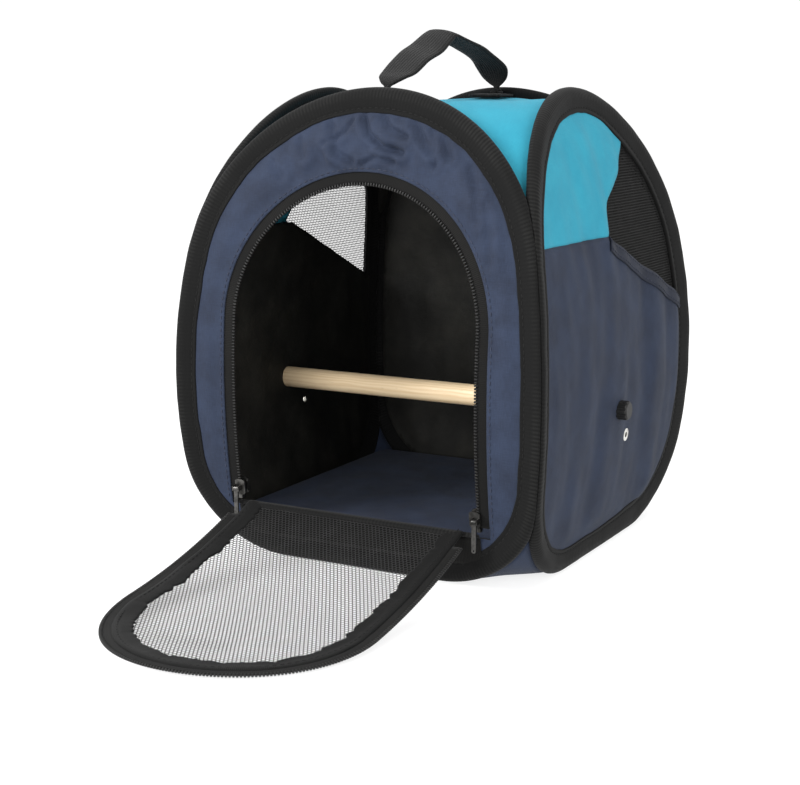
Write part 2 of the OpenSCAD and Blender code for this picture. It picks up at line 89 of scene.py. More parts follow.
# Worked out from them, as the frame has them
HALF_W = OVERALL_W / 2
BOW_C = WALL_R - HALF_W + PROUD
SIDE_R = WALL_R + PROUD
CROWN_UP = RING_H - BELLY_Z
CROWN_R = (SIDE_R ** 2 - BOW_C ** 2 - CROWN_UP ** 2) / (2 * (SIDE_R - CROWN_UP))
CROWN_Z = RING_H - CROWN_R
FOOT_X = math.sqrt((SIDE_R - FOOT_R) ** 2 - (BELLY_Z - FOOT_R) ** 2) - BOW_C
CROWN_A = math.atan2(CROWN_Z - BELLY_Z, BOW_C)
FOOT_A = -math.atan2(BELLY_Z - FOOT_R, FOOT_X + BOW_C)
QUARTER = math.pi / 2
ARCH_Z = RING_H - ARCH_DROP - ARCH_R
SEWN_GAP = 0.0001
FRAME_COIL_R = ARCH_R + COIL_W
DOORWAY_R = ARCH_R + FRAME_TAPE_W + 2 * SEWN_GAP
DOOR_COIL_R = ARCH_R - COIL_GAP
DOOR_BOUND_R = DOOR_COIL_R - COIL_W - SEWN_GAP - DOOR_TAPE_W
NET_R = DOOR_BOUND_R - DOOR_EDGE_W
ZIP_FOOT_Z = HINGE_Z + 0.005
DOOR_FOOT_Z = HINGE_Z + 0.002
DOOR_ZIP_Z = ZIP_FOOT_Z + 0.012
SILL_Z = HINGE_Z - 0.0022


def smooth(t):
    t = min(1, max(0, t))
    return t * t * (3 - 2 * t)


def ramp(value, low, high):
    return smooth((value - low) / (high - low))


def mixed(a, b, share):
    return a + (b - a) * share


def wall_half(z, off=0):
    """Distance of a wall from the middle of the carrier at a height."""
    return math.sqrt((WALL_R + off) ** 2 - (z - BELLY_Z) ** 2) - BOW_C


def on_front(u, v, off):
    return Vector((u, -wall_half(v, off), v))


def on_back(u, v, off):
    return Vector((-u, wall_half(v, off), v))


def on_right(u, v, off):
    return Vector((wall_half(v, off), u, v))


def on_left(u, v, off):
    return Vector((-wall_half(v, off), u, v))


def on_left_ring(u, v, off):
    return Vector((-wall_half(v, off), -u, v))


# The door hangs on its piping and lies open on the ground
HINGE_Y = -(wall_half(HINGE_Z) + 0.0009 + SEWN_GAP + PIPING_R)
REACH_Y = BOW_C - HINGE_Y
REACH_Z = BELLY_Z - HINGE_Z
OPEN_DROP = WALL_R + DOOR_EDGE_T / 2 + 0.0004 - HINGE_Z
DOOR_OPEN_A = math.pi - math.asin(OPEN_DROP / math.hypot(REACH_Y, REACH_Z)) - math.atan2(REACH_Z, REACH_Y)


def opened(point):
    y, z = point.y - HINGE_Y, point.z - HINGE_Z
    c, s = math.cos(DOOR_OPEN_A), math.sin(DOOR_OPEN_A)
    return Vector((point.x, HINGE_Y + y * c - z * s, HINGE_Z + y * s + z * c))


def on_door(u, v, off):
    return opened(on_front(u, v, off))


def inset_of(u, v):
    """How far a point of a wall's plane lies inside the outline of its ring."""
    u = abs(u)
    if math.atan2(v - CROWN_Z, u) >= CROWN_A:
        return CROWN_R - math.hypot(u, v - CROWN_Z)
    if u > FOOT_X and math.atan2(v - FOOT_R, u - FOOT_X) <= FOOT_A:
        return FOOT_R - math.hypot(u - FOOT_X, v - FOOT_R)
    side = SIDE_R - math.hypot(u + BOW_C, v - BELLY_Z)
    if u <= FOOT_X and v < FOOT_R:
        return min(v, side)
    return side


def arch_distance(u, v):
    """Distance from the centre of the arch above its spring line, and from its middle line below."""
    return math.hypot(u, max(0, v - ARCH_Z))


def ring_stations(step):
    """Points and outward directions round a ring, from the middle of its foot and up the right side."""
    half = [(FOOT_X * i / 12, 0, 0, -1) for i in range(12)]
    arcs = [
        (FOOT_X, FOOT_R, FOOT_R, -QUARTER, FOOT_A),
        (-BOW_C, BELLY_Z, SIDE_R, FOOT_A, CROWN_A),
        (0, CROWN_Z, CROWN_R, CROWN_A, QUARTER),
    ]
    for x, z, r, start, end in arcs:
        count = round(r * (end - start) / step)
        for i in range(count):
            a = start + (end - start) * i / count
            half.append((x + r * math.cos(a), z + r * math.sin(a), math.cos(a), math.sin(a)))
    mirrored = [(-x, z, -nx, nz) for x, z, nx, nz in reversed(half[1:])]
    return half + [(0, RING_H, 0, 1)] + mirrored


def ring_loop(inset, step):
    return [(x - inset * nx, z - inset * nz) for x, z, nx, nz in ring_stations(step)]


def arch_stations(r, foot, step):
    """Points and outward directions along an arch, from its right foot over the top to its left foot."""
    rise = round((ARCH_Z - foot) / step)
    turns = round(math.pi * r / step)
    right = [(r, foot + (ARCH_Z - foot) * i / rise, 1, 0) for i in range(rise)]
    angles = [math.pi * i / turns for i in range(turns + 1)]
    top = [(r * math.cos(a), ARCH_Z + r * math.sin(a), math.cos(a), math.sin(a)) for a in angles]
    left = [(-x, z, -nx, nz) for x, z, nx, nz in reversed(right)]
    return right + top + left


# Pieces from meshes


def new_piece(name, points, faces, corners):
    """A smooth mesh with one UV for each corner of each face, in metres."""
    mesh = bpy.data.meshes.new(name)
    mesh.from_pydata(points, [], faces)
    layer = mesh.uv_layers.new(name="UVMap")
    layer.data.foreach_set("uv", [c for corner in corners for c in corner])
    mesh.shade_smooth()
    piece = bpy.data.objects.new(name, mesh)
    bpy.context.scene.collection.objects.link(piece)
    return piece


def grid_piece(name, rows, columns, point, uv, close_rows=False, close_columns=False, flip=False):
    """A grid of quads: point and uv take a row and a column, and uv also runs one past a closed end."""
    points = [point(i, j) for i in range(rows) for j in range(columns)]
    faces = []
    corners = []
    for i in range(rows if close_rows else rows - 1):
        for j in range(columns if close_columns else columns - 1):
            ring = [(i, j), (i + 1, j), (i + 1, j + 1), (i, j + 1)]
            if flip:
                ring.reverse()
            faces.append([(a % rows) * columns + b % columns for a, b in ring])
            corners.extend(uv(a, b) for a, b in ring)
    return new_piece(name, points, faces, corners)


def pick(piece):
    bpy.ops.object.select_all(action="DESELECT")
    piece.select_set(True)
    bpy.context.view_layer.objects.active = piece


def shaped(piece, kind, **settings):
    """Adds a modifier to a piece and applies it."""
    modifier = piece.modifiers.new(kind.title(), kind)
    for key, value in settings.items():
        setattr(modifier, key, value)
    pick(piece)
    bpy.ops.object.modifier_apply(modifier=modifier.name)
    return piece


def edited(piece, operator, **settings):
    """Runs an edit-mode operator on the whole of a piece."""
    pick(piece)
    bpy.ops.object.mode_set(mode="EDIT")
    bpy.ops.mesh.select_all(action="SELECT")
    operator(**settings)
    bpy.ops.object.mode_set(mode="OBJECT")
    return piece


def outwards(piece):
    """Turns every face of a closed piece outwards."""
    return edited(piece, bpy.ops.mesh.normals_make_consistent, inside=False)


def close_end(piece, indices):
    """Fills the end of a tube with one face."""
    pick(piece)
    for part in (piece.data.polygons, piece.data.edges):
        for p in part:
            p.select = False
    for v in piece.data.vertices:
        v.select = v.index in indices
    bpy.ops.object.mode_set(mode="EDIT")
    bpy.ops.mesh.select_mode(type="VERT")
    bpy.ops.mesh.edge_face_add()
    bpy.ops.object.mode_set(mode="OBJECT")


def closed_tube(name, rows, columns, point, uv):
    """A tube with a face over each end."""
    piece = grid_piece(name, rows, columns, point, uv, False, True)
    for end in (0, rows - 1):
        close_end(piece, [end * columns + j for j in range(columns)])
    return outwards(piece)


def thick(piece, thickness):
    return shaped(piece, "SOLIDIFY", thickness=thickness, offset=0)


def finished(piece, body, slot, *nodes):
    piece.data.materials.clear()
    piece.data.materials.append(FINISHES[slot])
    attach(piece, body)
    if nodes:
        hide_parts(*nodes)
    return piece


def arc_lengths(points):
    lengths = [0]
    for a, b in zip(points, points[1:]):
        lengths.append(lengths[-1] + (Vector(b) - Vector(a)).length)
    return lengths


def line_lengths(stations):
    """Distances along a line of stations, in the plane of its wall."""
    return arc_lengths([(u, v, 0) for u, v, _, _ in stations])


def curve_through(points, count):
    """A smooth curve through a few points, as a list of vectors."""
    knots = [Vector(p) for p in points]
    knots = [2 * knots[0] - knots[1]] + knots + [2 * knots[-1] - knots[-2]]
    spans = len(knots) - 3
    found = []
    for i in range(count + 1):
        t = spans * i / count
        k = min(int(t), spans - 1)
        t -= k
        a, b, c, d = knots[k:k + 4]
        bend = (2 * a - 5 * b + 4 * c - d) * t * t + (3 * b - a - 3 * c + d) * t ** 3
        found.append(b + 0.5 * ((c - a) * t + bend))
    return found


def repeated(name, model, places):
    """Copies of a small model at many places, each an origin and the directions of its three axes."""
    points = []
    faces = []
    corners = []
    shape = [v.co.copy() for v in model.vertices]
    polygons = [list(p.vertices) for p in model.polygons]
    for origin, along, across, up in places:
        base = len(points)
        points.extend(origin + along * p.x + across * p.y + up * p.z for p in shape)
        for polygon in polygons:
            faces.append([base + k for k in polygon])
            corners.extend((shape[k].x, shape[k].y) for k in polygon)
    return new_piece(name, points, faces, corners)


def frames_along(place, stations, off, pitch, start=0):
    """Origins and axes at even steps along a line on a wall: along it, out of its outline, off the wall."""
    points = [place(u, v, off) for u, v, _, _ in stations]
    outs = [place(u + MM * nu, v + MM * nv, off) for u, v, nu, nv in stations]
    lengths = arc_lengths(points)
    frames = []
    distance = start
    k = 0
    while distance < lengths[-1]:
        while lengths[k + 1] < distance:
            k += 1
        share = (distance - lengths[k]) / (lengths[k + 1] - lengths[k])
        origin = points[k].lerp(points[k + 1], share)
        along = (points[k + 1] - points[k]).normalized()
        out = (outs[k].lerp(outs[k + 1], share) - origin).normalized()
        frames.append((origin, along, out, along.cross(out)))
        distance += pitch
    return frames


# Shader maths


class Value:
    """A number or vector that varies over a surface. Arithmetic on it adds nodes to its finish."""

    def __init__(self, finish, socket):
        self.finish = finish
        self.socket = socket

    def __add__(self, other):
        return self.finish.math("ADD", self, other)

    def __radd__(self, other):
        return self.finish.math("ADD", other, self)

    def __sub__(self, other):
        return self.finish.math("SUBTRACT", self, other)

    def __rsub__(self, other):
        return self.finish.math("SUBTRACT", other, self)

    def __mul__(self, other):
        return self.finish.math("MULTIPLY", self, other)

    def __rmul__(self, other):
        return self.finish.math("MULTIPLY", other, self)

    def __truediv__(self, other):
        return self.finish.math("DIVIDE", self, other)

    def __pow__(self, other):
        return self.finish.math("POWER", self, other)

    def sine(self):
        return self.finish.math("SINE", self)

    def size(self):
        return self.finish.math("ABSOLUTE", self)

    def between(self, low, high):
        """0 below low, 1 above high, and smooth between."""
        settings = {"interpolation_type": "SMOOTHSTEP"}
        return self.finish.value("ShaderNodeMapRange", settings, {0: self, 1: low, 2: high})


class Finish:
    """A material with one principled shader, built from expressions."""

    def __init__(self, name):
        self.material = bpy.data.materials.new(name)
        self.material.use_nodes = True
        self.tree = self.material.node_tree
        self.shader = self.tree.nodes["Principled BSDF"]

    def node(self, kind, settings=None, inputs=None):
        made = self.tree.nodes.new(kind)
        for key, value in (settings or {}).items():
            setattr(made, key, value)
        for key, value in (inputs or {}).items():
            self.feed(made.inputs[key], value)
        return made

    def value(self, kind, settings=None, inputs=None, output=0):
        return Value(self, self.node(kind, settings, inputs).outputs[output])

    def feed(self, socket, value):
        if isinstance(value, Value):
            self.tree.links.new(value.socket, socket)
        else:
            socket.default_value = value

    def math(self, operation, *numbers):
        return self.value("ShaderNodeMath", {"operation": operation}, dict(enumerate(numbers)))

    def mix(self, share, first, second):
        """A colour between two, each a value or what it is on screen."""
        first, second = [c if isinstance(c, Value) else on_screen(*c) for c in (first, second)]
        inputs = {0: share, 6: first, 7: second}
        return self.value("ShaderNodeMix", {"data_type": "RGBA"}, inputs, 2)

    def place(self, output):
        return self.value("ShaderNodeTexCoord", output=output)

    def parts(self, vector):
        split = self.node("ShaderNodeSeparateXYZ", inputs={0: vector})
        return [Value(self, socket) for socket in split.outputs]

    def stretched(self, vector, scale):
        return self.value("ShaderNodeVectorMath", {"operation": "MULTIPLY"}, {0: vector, 1: scale})

    def noise(self, vector, scale, detail=3, roughness=0.55):
        inputs = {"Vector": vector, "Scale": scale, "Detail": detail, "Roughness": roughness}
        return self.value("ShaderNodeTexNoise", inputs=inputs)

    def finish(self, colour, roughness, height=None, depth=0.0001, **fixed):
        """Feeds the shader: colour and roughness may vary, fixed holds plain numbers by socket name."""
        self.feed(self.shader.inputs["Base Color"], colour)
        self.feed(self.shader.inputs["Roughness"], roughness)
        if height is not None:
            bumps = {"Height": height, "Distance": depth, "Strength": 1}
            self.feed(self.shader.inputs["Normal"], self.value("ShaderNodeBump", inputs=bumps))
        for key, value in fixed.items():
            self.shader.inputs[key.replace("_", " ")].default_value = value
        return self.material


def on_screen(r, g, b):
    """A colour from its 0 to 255 values on screen."""
    def linear(c):
        c /= 255
        return c / 12.92 if c <= 0.04045 else ((c + 0.055) / 1.055) ** 2.4
    return (linear(r), linear(g), linear(b), 1)


# Outputs of the Texture Coordinate node
UV = 2
OBJECT = 3

# Threads and ribs of the cloths and tapes, in metres
CLOTH_THREAD = 0.0006
LINING_THREAD = 0.0008
FLOAT_L = 0.0009
BINDING_RIB = 0.0025
TAPE_RIB = 0.0011
WEBBING_COLUMN = 0.0021
WEBBING_PICK = 0.0016
WOOD_BAND = 0.0032


def woven(name, light, dark, roughness=0.82, fading=0.4):
    """Plain-woven cloth: crossings of warp and weft, slubs along both, and soft cloudy fading."""
    f = Finish(name)
    uv = f.place(UV)
    u, v, _ = f.parts(uv)
    rate = math.pi / CLOTH_THREAD
    crossing = ((u * rate).sine() * (v * rate).sine()).size()
    slub = f.noise(f.stretched(uv, (1, 14, 1)), 160, 2) + f.noise(f.stretched(uv, (14, 1, 1)), 160, 2)
    cloud = f.noise(uv, 34, 4, 0.6)
    share = cloud.between(0.3, 0.72) * fading + crossing * 0.3 + (slub - 1) * 0.6 + (0.5 - fading) * 0.6
    shade = f.mix(share, dark, light)
    rough = roughness - crossing * 0.08 + (cloud - 0.5) * 0.1
    ridge = 1 - ((f.noise(uv, 17, 3, 0.5) - 0.5) * 9).size().between(0, 1)
    crumple = (cloud * 9 + ridge * 3.5) * 0.8
    fixed = {"Sheen_Weight": 0.03, "Sheen_Roughness": 0.45, "Specular_IOR_Level": 0.2}
    return f.finish(shade, rough, crossing + slub * 0.6 + crumple, 0.00007, **fixed)


def ribbed(name, light, dark, rib, shaded, roughness, depth):
    """Ribbed tape: ribs across it, each a row of short floats, with dust on the crests.

    shaded gives the part of its width that stays flat and darker.
    """
    f = Finish(name)
    uv = f.place(UV)
    u, v, _ = f.parts(uv)
    wander = f.noise(uv, 60, 2)
    clear = f.noise(uv, 9, 2).between(0.38, 0.62) * 0.75 + 0.25
    crest = (((u + wander * 0.0006) * (2 * math.pi / rib)).sine() * 0.5 + 0.5) * clear
    floats = (v * (math.pi / FLOAT_L)).sine().size()
    fibre = f.noise(f.stretched(uv, (1, 9, 1)), 420, 2)
    wear = f.noise(uv, 22, 4, 0.65).between(0.42, 0.75)
    share = crest * (0.45 + 0.4 * wear) + (fibre - 0.5) * 0.5
    if shaded:
        low, high = shaded
        edge = 0.0012
        flat = v.between(low - edge, low + edge) * (1 - v.between(high - edge, high + edge))
        share = share * (1 - flat * 0.7)
        crest = crest * (1 - flat * 0.75)
    shade = f.mix(share, dark, light)
    height = crest + floats * 0.25 + fibre * 0.35
    fixed = {"Sheen_Weight": 0.03, "Sheen_Roughness": 0.5, "Specular_IOR_Level": 0.12}
    return f.finish(shade, roughness - crest * 0.1, height, depth, **fixed)


def webbing(name, light, dark):
    """Heavy webbing: rounded columns along it, crossed by fine picks, mottled with pale fibre."""
    f = Finish(name)
    uv = f.place(UV)
    u, v, _ = f.parts(uv)
    column = (v * (math.pi / WEBBING_COLUMN)).sine().size()
    picks = (u * (2 * math.pi / WEBBING_PICK) + v * 900).sine() * 0.5 + 0.5
    mottle = f.noise(uv, 260, 4, 0.7)
    wear = f.noise(uv, 30, 3).between(0.4, 0.7)
    share = column * picks * 0.55 + (mottle - 0.4) * (0.5 + 0.5 * wear)
    height = column + picks * 0.5 + mottle * 0.4
    fixed = {"Sheen_Weight": 0.04, "Specular_IOR_Level": 0.12}
    return f.finish(f.mix(share, dark, light), 0.85 - column * 0.1, height, 0.0003, **fixed)


def coated(name, light, dark):
    """Thin lining with a matt coating: faint weave and creases, with painted sheen on the raised folds and
    painted shade in the creases.
    """
    f = Finish(name)
    uv = f.place(UV)
    u, v, _ = f.parts(uv)
    rate = math.pi / LINING_THREAD
    crossing = ((u * rate).sine() * (v * rate).sine()).size()
    crease = f.noise(uv, 26, 5, 0.62)
    # The colour follows the crease relief: painted sheen where it rises and painted shade where it sinks.
    share = crease.between(0.35, 0.75) * 0.8 + crossing * 0.15
    height = crossing * 0.2 + crease * 3
    return f.finish(f.mix(share, dark, light), 0.62 + crease * 0.15, height, 0.0004, Specular_IOR_Level=0.25)


def moulded(name, light, dark, roughness, grain=900):
    """Moulded plastic with a fine grain."""
    f = Finish(name)
    spot = f.place(OBJECT)
    fine = f.noise(spot, grain, 2)
    worn = f.noise(spot, 90, 3).between(0.45, 0.7)
    share = fine * 0.35 + worn * 0.4
    return f.finish(f.mix(share, dark, light), roughness + fine * 0.12, fine, 0.00005, Specular_IOR_Level=0.3)


def metal(name, light, dark, roughness):
    """Plated metal: fine drawn lines, dull spots and brighter rubbed ones."""
    f = Finish(name)
    spot = f.place(OBJECT)
    drawn = f.noise(f.stretched(spot, (1, 1, 0.06)), 2600, 2)
    dull = f.noise(spot, 240, 4, 0.6)
    rough = roughness + drawn * 0.12 + dull.between(0.4, 0.8) * 0.15
    return f.finish(f.mix(dull.between(0.35, 0.75), light, dark), rough, drawn, 0.00001, Metallic=1)


def timber(name, light, mid, dark):
    """Straight-grained pale wood along X: growth bands, fine pores, a few darker flecks, and painted shade
    that darkens both ends, next to the side walls.
    """
    f = Finish(name)
    spot = f.place(OBJECT)
    x, y, z = f.parts(spot)
    drift = f.noise(f.stretched(spot, (0.5, 3, 3)), 30, 2)
    bands = ((y * 1.2 + z + drift * 0.008) * (2 * math.pi / WOOD_BAND)).sine() * 0.5 + 0.5
    grain = f.noise(f.stretched(spot, (0.03, 1, 1)), 1500, 4, 0.6)
    fleck = f.noise(f.stretched(spot, (0.12, 1, 1)), 900, 2).between(0.66, 0.76)
    base = f.mix(bands * 0.55 + (grain - 0.5) * 0.9, light, mid)
    # The term in x darkens both ends of the perch, next to the side walls: painted shade.
    shade = f.mix(fleck * 0.5 + (x / 0.16).size() ** 6 * 0.3, base, dark)
    return f.finish(shade, 0.5 + grain * 0.15, grain + bands * 0.3, 0.00006, Coat_Weight=0.08)


def pressed_board(name):
    f = Finish(name)
    spot = f.place(OBJECT)
    chip = f.noise(f.stretched(spot, (1, 1, 4)), 420, 4, 0.7)
    shade = f.mix(chip.between(0.3, 0.7), (150, 122, 86), (96, 74, 50))
    return f.finish(shade, 0.8 + chip * 0.1, chip, 0.00012)


def stage_finish():
    f = Finish("studio_floor")
    tone = f.noise(f.place(OBJECT), 3, 3)
    glow = {"Emission_Color": (1, 1, 1, 1), "Emission_Strength": 0.78}
    return f.finish(f.mix(tone, (142, 142, 142), (150, 150, 150)), 0.9, **glow)


FINISHES = {
    "binding": ribbed("binding_tape", (26, 26, 25), (6, 6, 6), BINDING_RIB, (0.009, 0.0265), 0.8, 0.0002),
    "navy_fabric": woven("navy_cloth", (41, 51, 71), (21, 27, 41)),
    "turquoise_fabric": woven("turquoise_cloth", (46, 143, 163), (28, 117, 140), fading=0.28),
    "lining": coated("black_lining", (35, 34, 30), (13, 13, 11)),
    "net": moulded("window_net_thread", (28, 28, 28), (12, 12, 12), 0.7),
    "door_net": moulded("door_net_thread", (40, 40, 40), (18, 18, 18), 0.7),
    "hem": woven("hem_cloth", (38, 43, 57), (20, 24, 34)),
    "floor_fabric": woven("floor_cloth", (46, 57, 80), (24, 30, 45), 0.8),
    "board": pressed_board("fibre_board"),
    "zip_tape": ribbed("zip_tape", (25, 24, 22), (7, 7, 7), TAPE_RIB, None, 0.85, 0.00012),
    "zip_coil": moulded("zip_nylon", (26, 25, 24), (8, 8, 8), 0.5, 1500),
    "zip_metal": metal("zip_nickel", (92, 91, 89), (46, 46, 45), 0.32),
    "wood": timber("perch_wood", (226, 203, 167), (204, 174, 132), (160, 126, 88)),
    "knob_plastic": moulded("knob_plastic", (24, 24, 23), (8, 8, 8), 0.42),
    "eyelet_metal": metal("eyelet_nickel", (226, 225, 220), (170, 168, 162), 0.2),
    "webbing": webbing("handle_webbing", (32, 32, 32), (8, 8, 8)),
    "spring_steel": metal("spring_steel", (150, 150, 152), (96, 96, 100), 0.35),
}
DOOR_TAPE = ribbed("door_edge_tape", (24, 24, 23), (6, 6, 6), TAPE_RIB, (0.006, 0.02), 0.75, 0.00012)
THREADS = {
    "black": moulded("black_thread", (15, 15, 14), (6, 6, 6), 0.8, 3000),
    "navy": moulded("navy_thread", (50, 56, 74), (28, 32, 44), 0.7, 3000),
}


# Small models that are copied many times


def small_block(x, y, z):
    bpy.ops.mesh.primitive_cube_add(size=1)
    piece = bpy.context.object
    piece.scale = (x, y, z)
    bpy.ops.object.transform_apply(scale=True)
    return piece


def softened(piece, width, segments=1):
    """Bevels every edge of a piece."""
    return edited(piece, bpy.ops.mesh.bevel, offset=width, segments=segments, affect="EDGES")


def taken_mesh(piece):
    mesh = piece.data
    bpy.data.objects.remove(piece)
    return mesh


def stitch_model(length, width):
    """One stitch: a short thread, rounded, that dips into the cloth at both ends."""
    piece = softened(small_block(length * 0.7, width, width * 0.8), width * 0.28)
    for v in piece.data.vertices:
        v.co.z -= width * 0.5 * (v.co.x / (length * 0.35)) ** 2
    return taken_mesh(piece)


def tooth_model():
    """One turn of the coil: a rounded bar across the tape, its wider head towards the other coil."""
    width = COIL_W * 1.25
    piece = small_block(ZIP_PITCH * 0.52, width, COIL_T * 0.8)
    edited(piece, bpy.ops.mesh.subdivide, number_cuts=1)
    for v in piece.data.vertices:
        head = v.co.y < -0.4 * width
        v.co.x *= 1.35 if head else (1 if v.co.y < 0.4 * width else 0.7)
        v.co.z *= 1 if abs(v.co.y) < 0.4 * width else 0.72
    return taken_mesh(softened(piece, 0.00022))


ZIP_PITCH = 0.0020
STITCH_L = 0.0034
STITCH_PITCH = 0.0042
STITCH = stitch_model(STITCH_L, 0.0006)
TOOTH = tooth_model()


def stitches_at(name, places, body, thread):
    piece = repeated(name, STITCH, places)
    piece.data.materials.append(THREADS[thread])
    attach(piece, body)


def stitch_row(name, place, stations, off, body, thread, start=0):
    """A row of stitches along a line on a wall."""
    stitches_at(name, frames_along(place, stations, off, STITCH_PITCH, start), body, thread)


# Padded bindings of the four rings

RING_STEP = 0.0026
MITRE = 0.00015
GROOVE = 0.0131
BOUND_EDGE_T = 0.0015


def binding_half(inset):
    """Half thickness of a binding: a round bulb over the spring that thins to the stitched edge."""
    bulb = PROUD
    if inset < bulb:
        return math.sqrt(bulb ** 2 - (bulb - inset) ** 2)
    half = mixed(bulb, BOUND_EDGE_T, smooth((inset - bulb) / (BINDING_W - bulb - 0.001)))
    return half - 0.0004 * math.exp(-((inset - GROOVE) / 0.0006) ** 2)


def binding_profile():
    """Points of the binding's section as inset, half thickness and side, round from the outer edge."""
    insets = [0.00025, 0.0008, 0.0017, 0.0028, 0.004, 0.0055, 0.0075, 0.0095, 0.0112]
    insets += [0.0124, 0.0131, 0.0138, 0.0149, 0.0156]
    upper = [(i, binding_half(i)) for i in insets] + [(BINDING_W, 0.0009)]
    return [(0, 0)] + upper + [(i, -h) for i, h in reversed(upper)]


def widening(side, x):
    """How much wider the bindings of the sides are sewn towards the back."""
    back = {"right": x, "left": -x}.get(side, -1)
    return 0.006 * ramp(back, 0.0, 0.08)


def padded_binding(side, place):
    stations = ring_stations(RING_STEP)
    profile = binding_profile()
    lengths = line_lengths(stations + stations[:1])
    widths = arc_lengths([(i, h, 0) for i, h in profile + profile[:1]])
    seed = Vector((SIDES.index(side) * 7.3, 1.7, 0))

    def point(i, j):
        x, z, nx, nz = stations[i]
        inset, half = profile[j]
        spot = Vector((x, z, 0))
        ease = inset / BINDING_W
        tuck = noise.noise(spot * 38 + seed) * 0.0009 + noise.noise(spot * 120 + seed) * 0.0004
        inset += ease ** 2 * (tuck + widening(side, x))
        pucker = noise.noise(spot * 75 + seed + Vector((0, 0, inset * 60)))
        half *= 1 + 0.09 * pucker
        u, v = x - inset * nx, z - inset * nz
        limit = wall_half(v, half) - MITRE
        return place(max(-limit, min(limit, u)), v, half)

    def uv(i, j):
        return lengths[i], widths[j]

    name = side + "_binding"
    piece = outwards(grid_piece(name + "_pad", len(stations), len(profile), point, uv, True, True))
    finished(piece, "carrier", "binding", name)
    line = []
    for x, z, nx, nz in stations + stations[:1]:
        inset = GROOVE + (GROOVE / BINDING_W) ** 2 * widening(side, x)
        line.append((x - inset * nx, z - inset * nz, nx, nz))
    off = binding_half(GROOVE) + 0.00005
    stitch_row(name + "_stitches", place, line, off, "carrier", "black")


SIDES = ["front", "right", "back", "left"]
WALLS = {"front": on_front, "right": on_right, "back": on_back, "left": on_left}
for side in SIDES:
    padded_binding(side, on_left_ring if side == "left" else WALLS[side])


# Cloth of the walls


def off_line(u, v, line):
    """Distance of a point from a line of several runs."""
    best = 1
    for (a, b), (c, d) in zip(line, line[1:]):
        run = (c - a) ** 2 + (d - b) ** 2
        t = max(0, min(1, ((u - a) * (c - a) + (v - b) * (d - b)) / run))
        best = min(best, math.hypot(u - a - t * (c - a), v - b - t * (d - b)))
    return best


def divided(line, step):
    found = [line[0]]
    for (a, b), (c, d) in zip(line, line[1:]):
        count = max(1, round(math.hypot(c - a, d - b) / step))
        found.extend((mixed(a, c, i / count), mixed(b, d, i / count)) for i in range(1, count + 1))
    return found


def wall_cloth(name, place, keep, relief, lines, step, flip):
    """A sheet over a wall: even triangles that follow the ring's outline and some inner lines."""
    outline = ring_loop(SHEET_INSET, 0.004)
    loops = [outline + outline[:1]] + [divided(line, step) for line in lines]
    flat = []
    edges = []
    for loop in loops:
        edges.extend((len(flat) + i, len(flat) + i + 1) for i in range(len(loop) - 1))
        flat.extend(loop)
    row = step * math.sqrt(3) / 2
    for j in range(int(RING_H / row)):
        for i in range(int(-HALF_W / step), int(HALF_W / step) + 1):
            u, v = (i + 0.5 * (j % 2)) * step, j * row
            if inset_of(u, v) < SHEET_INSET + 0.4 * step or not keep(u, v):
                continue
            if all(off_line(u, v, line) >= 0.4 * step for line in lines):
                flat.append((u, v))
    found = delaunay_2d_cdt([Vector(p) for p in flat], edges, [], 0, 1e-7)
    spots, triangles = found[0], found[2]
    used = {}
    faces = []
    for triangle in triangles:
        u = sum(spots[k].x for k in triangle) / 3
        v = sum(spots[k].y for k in triangle) / 3
        if inset_of(u, v) > SHEET_INSET - 0.0002 and keep(u, v):
            ring = list(triangle)[::-1] if flip else list(triangle)
            faces.append([used.setdefault(k, len(used)) for k in ring])
    order = sorted(used, key=used.get)
    points = [place(spots[k].x, spots[k].y, relief(spots[k].x, spots[k].y)) for k in order]
    corners = [tuple(spots[order[k]]) for face in faces for k in face]
    return thick(new_piece(name, points, faces, corners), CLOTH_T)


def held(u, v, reach=0.014):
    """0 where the binding holds the cloth, and 1 at a distance inside it."""
    return ramp(inset_of(u, v), BINDING_W - MM, BINDING_W + reach)


def ripples(u, v, across, along, seed):
    """Soft uneven swells, longer one way than the other."""
    return noise.noise(Vector((u / across, v / along, seed)))


# Gathers over the doorway: angle round the arch, half width, height and lean towards the ring
GATHERS = [
    (128, 3.5, 0.7, 5),
    (116, 2.6, 1.3, -7),
    (108, 2.2, -0.9, -4),
    (101, 2.6, 1.5, 6),
    (93, 2.2, -0.8, 8),
    (86, 3.0, 1.2, -6),
    (77, 2.4, -0.6, 5),
    (66, 3.2, 0.8, 8),
    (48, 4.0, 0.5, -5),
]

# Sharp creases over the doorway, each a line, its depth and its half width in millimetres
CREASES = [
    ([(-6, 292), (1, 281), (13, 273), (27, 270)], 1.9, 1.9),
    ([(7, 293), (15, 284), (29, 279)], 1.5, 1.7),
    ([(-31, 288), (-23, 278), (-21, 269), (-9, 263)], 1.3, 2.0),
    ([(-13, 290), (-17, 281), (-30, 275)], 1.1, 1.6),
    ([(-3, 262), (8, 267), (21, 264)], 1.2, 1.5),
    ([(30, 290), (38, 281), (47, 270)], 1.6, 2.0),
    ([(53, 279), (60, 267)], 1.2, 2.0),
    ([(44, 284), (50, 272), (51, 262)], 0.9, 1.8),
    ([(-51, 277), (-44, 266)], 0.9, 2.2),
    ([(-68, 262), (-60, 253)], 0.8, 2.4),
    ([(75, 262), (82, 246), (84, 230)], 1.0, 2.4),
    ([(88, 240), (93, 222), (94, 205)], 0.9, 2.6),
]


CREASES_FROM = 0.19
CREASE_LINES = [
    ([(u * MM, v * MM) for u, v in line], depth * MM, width * MM)
    for line, depth, width in CREASES
]


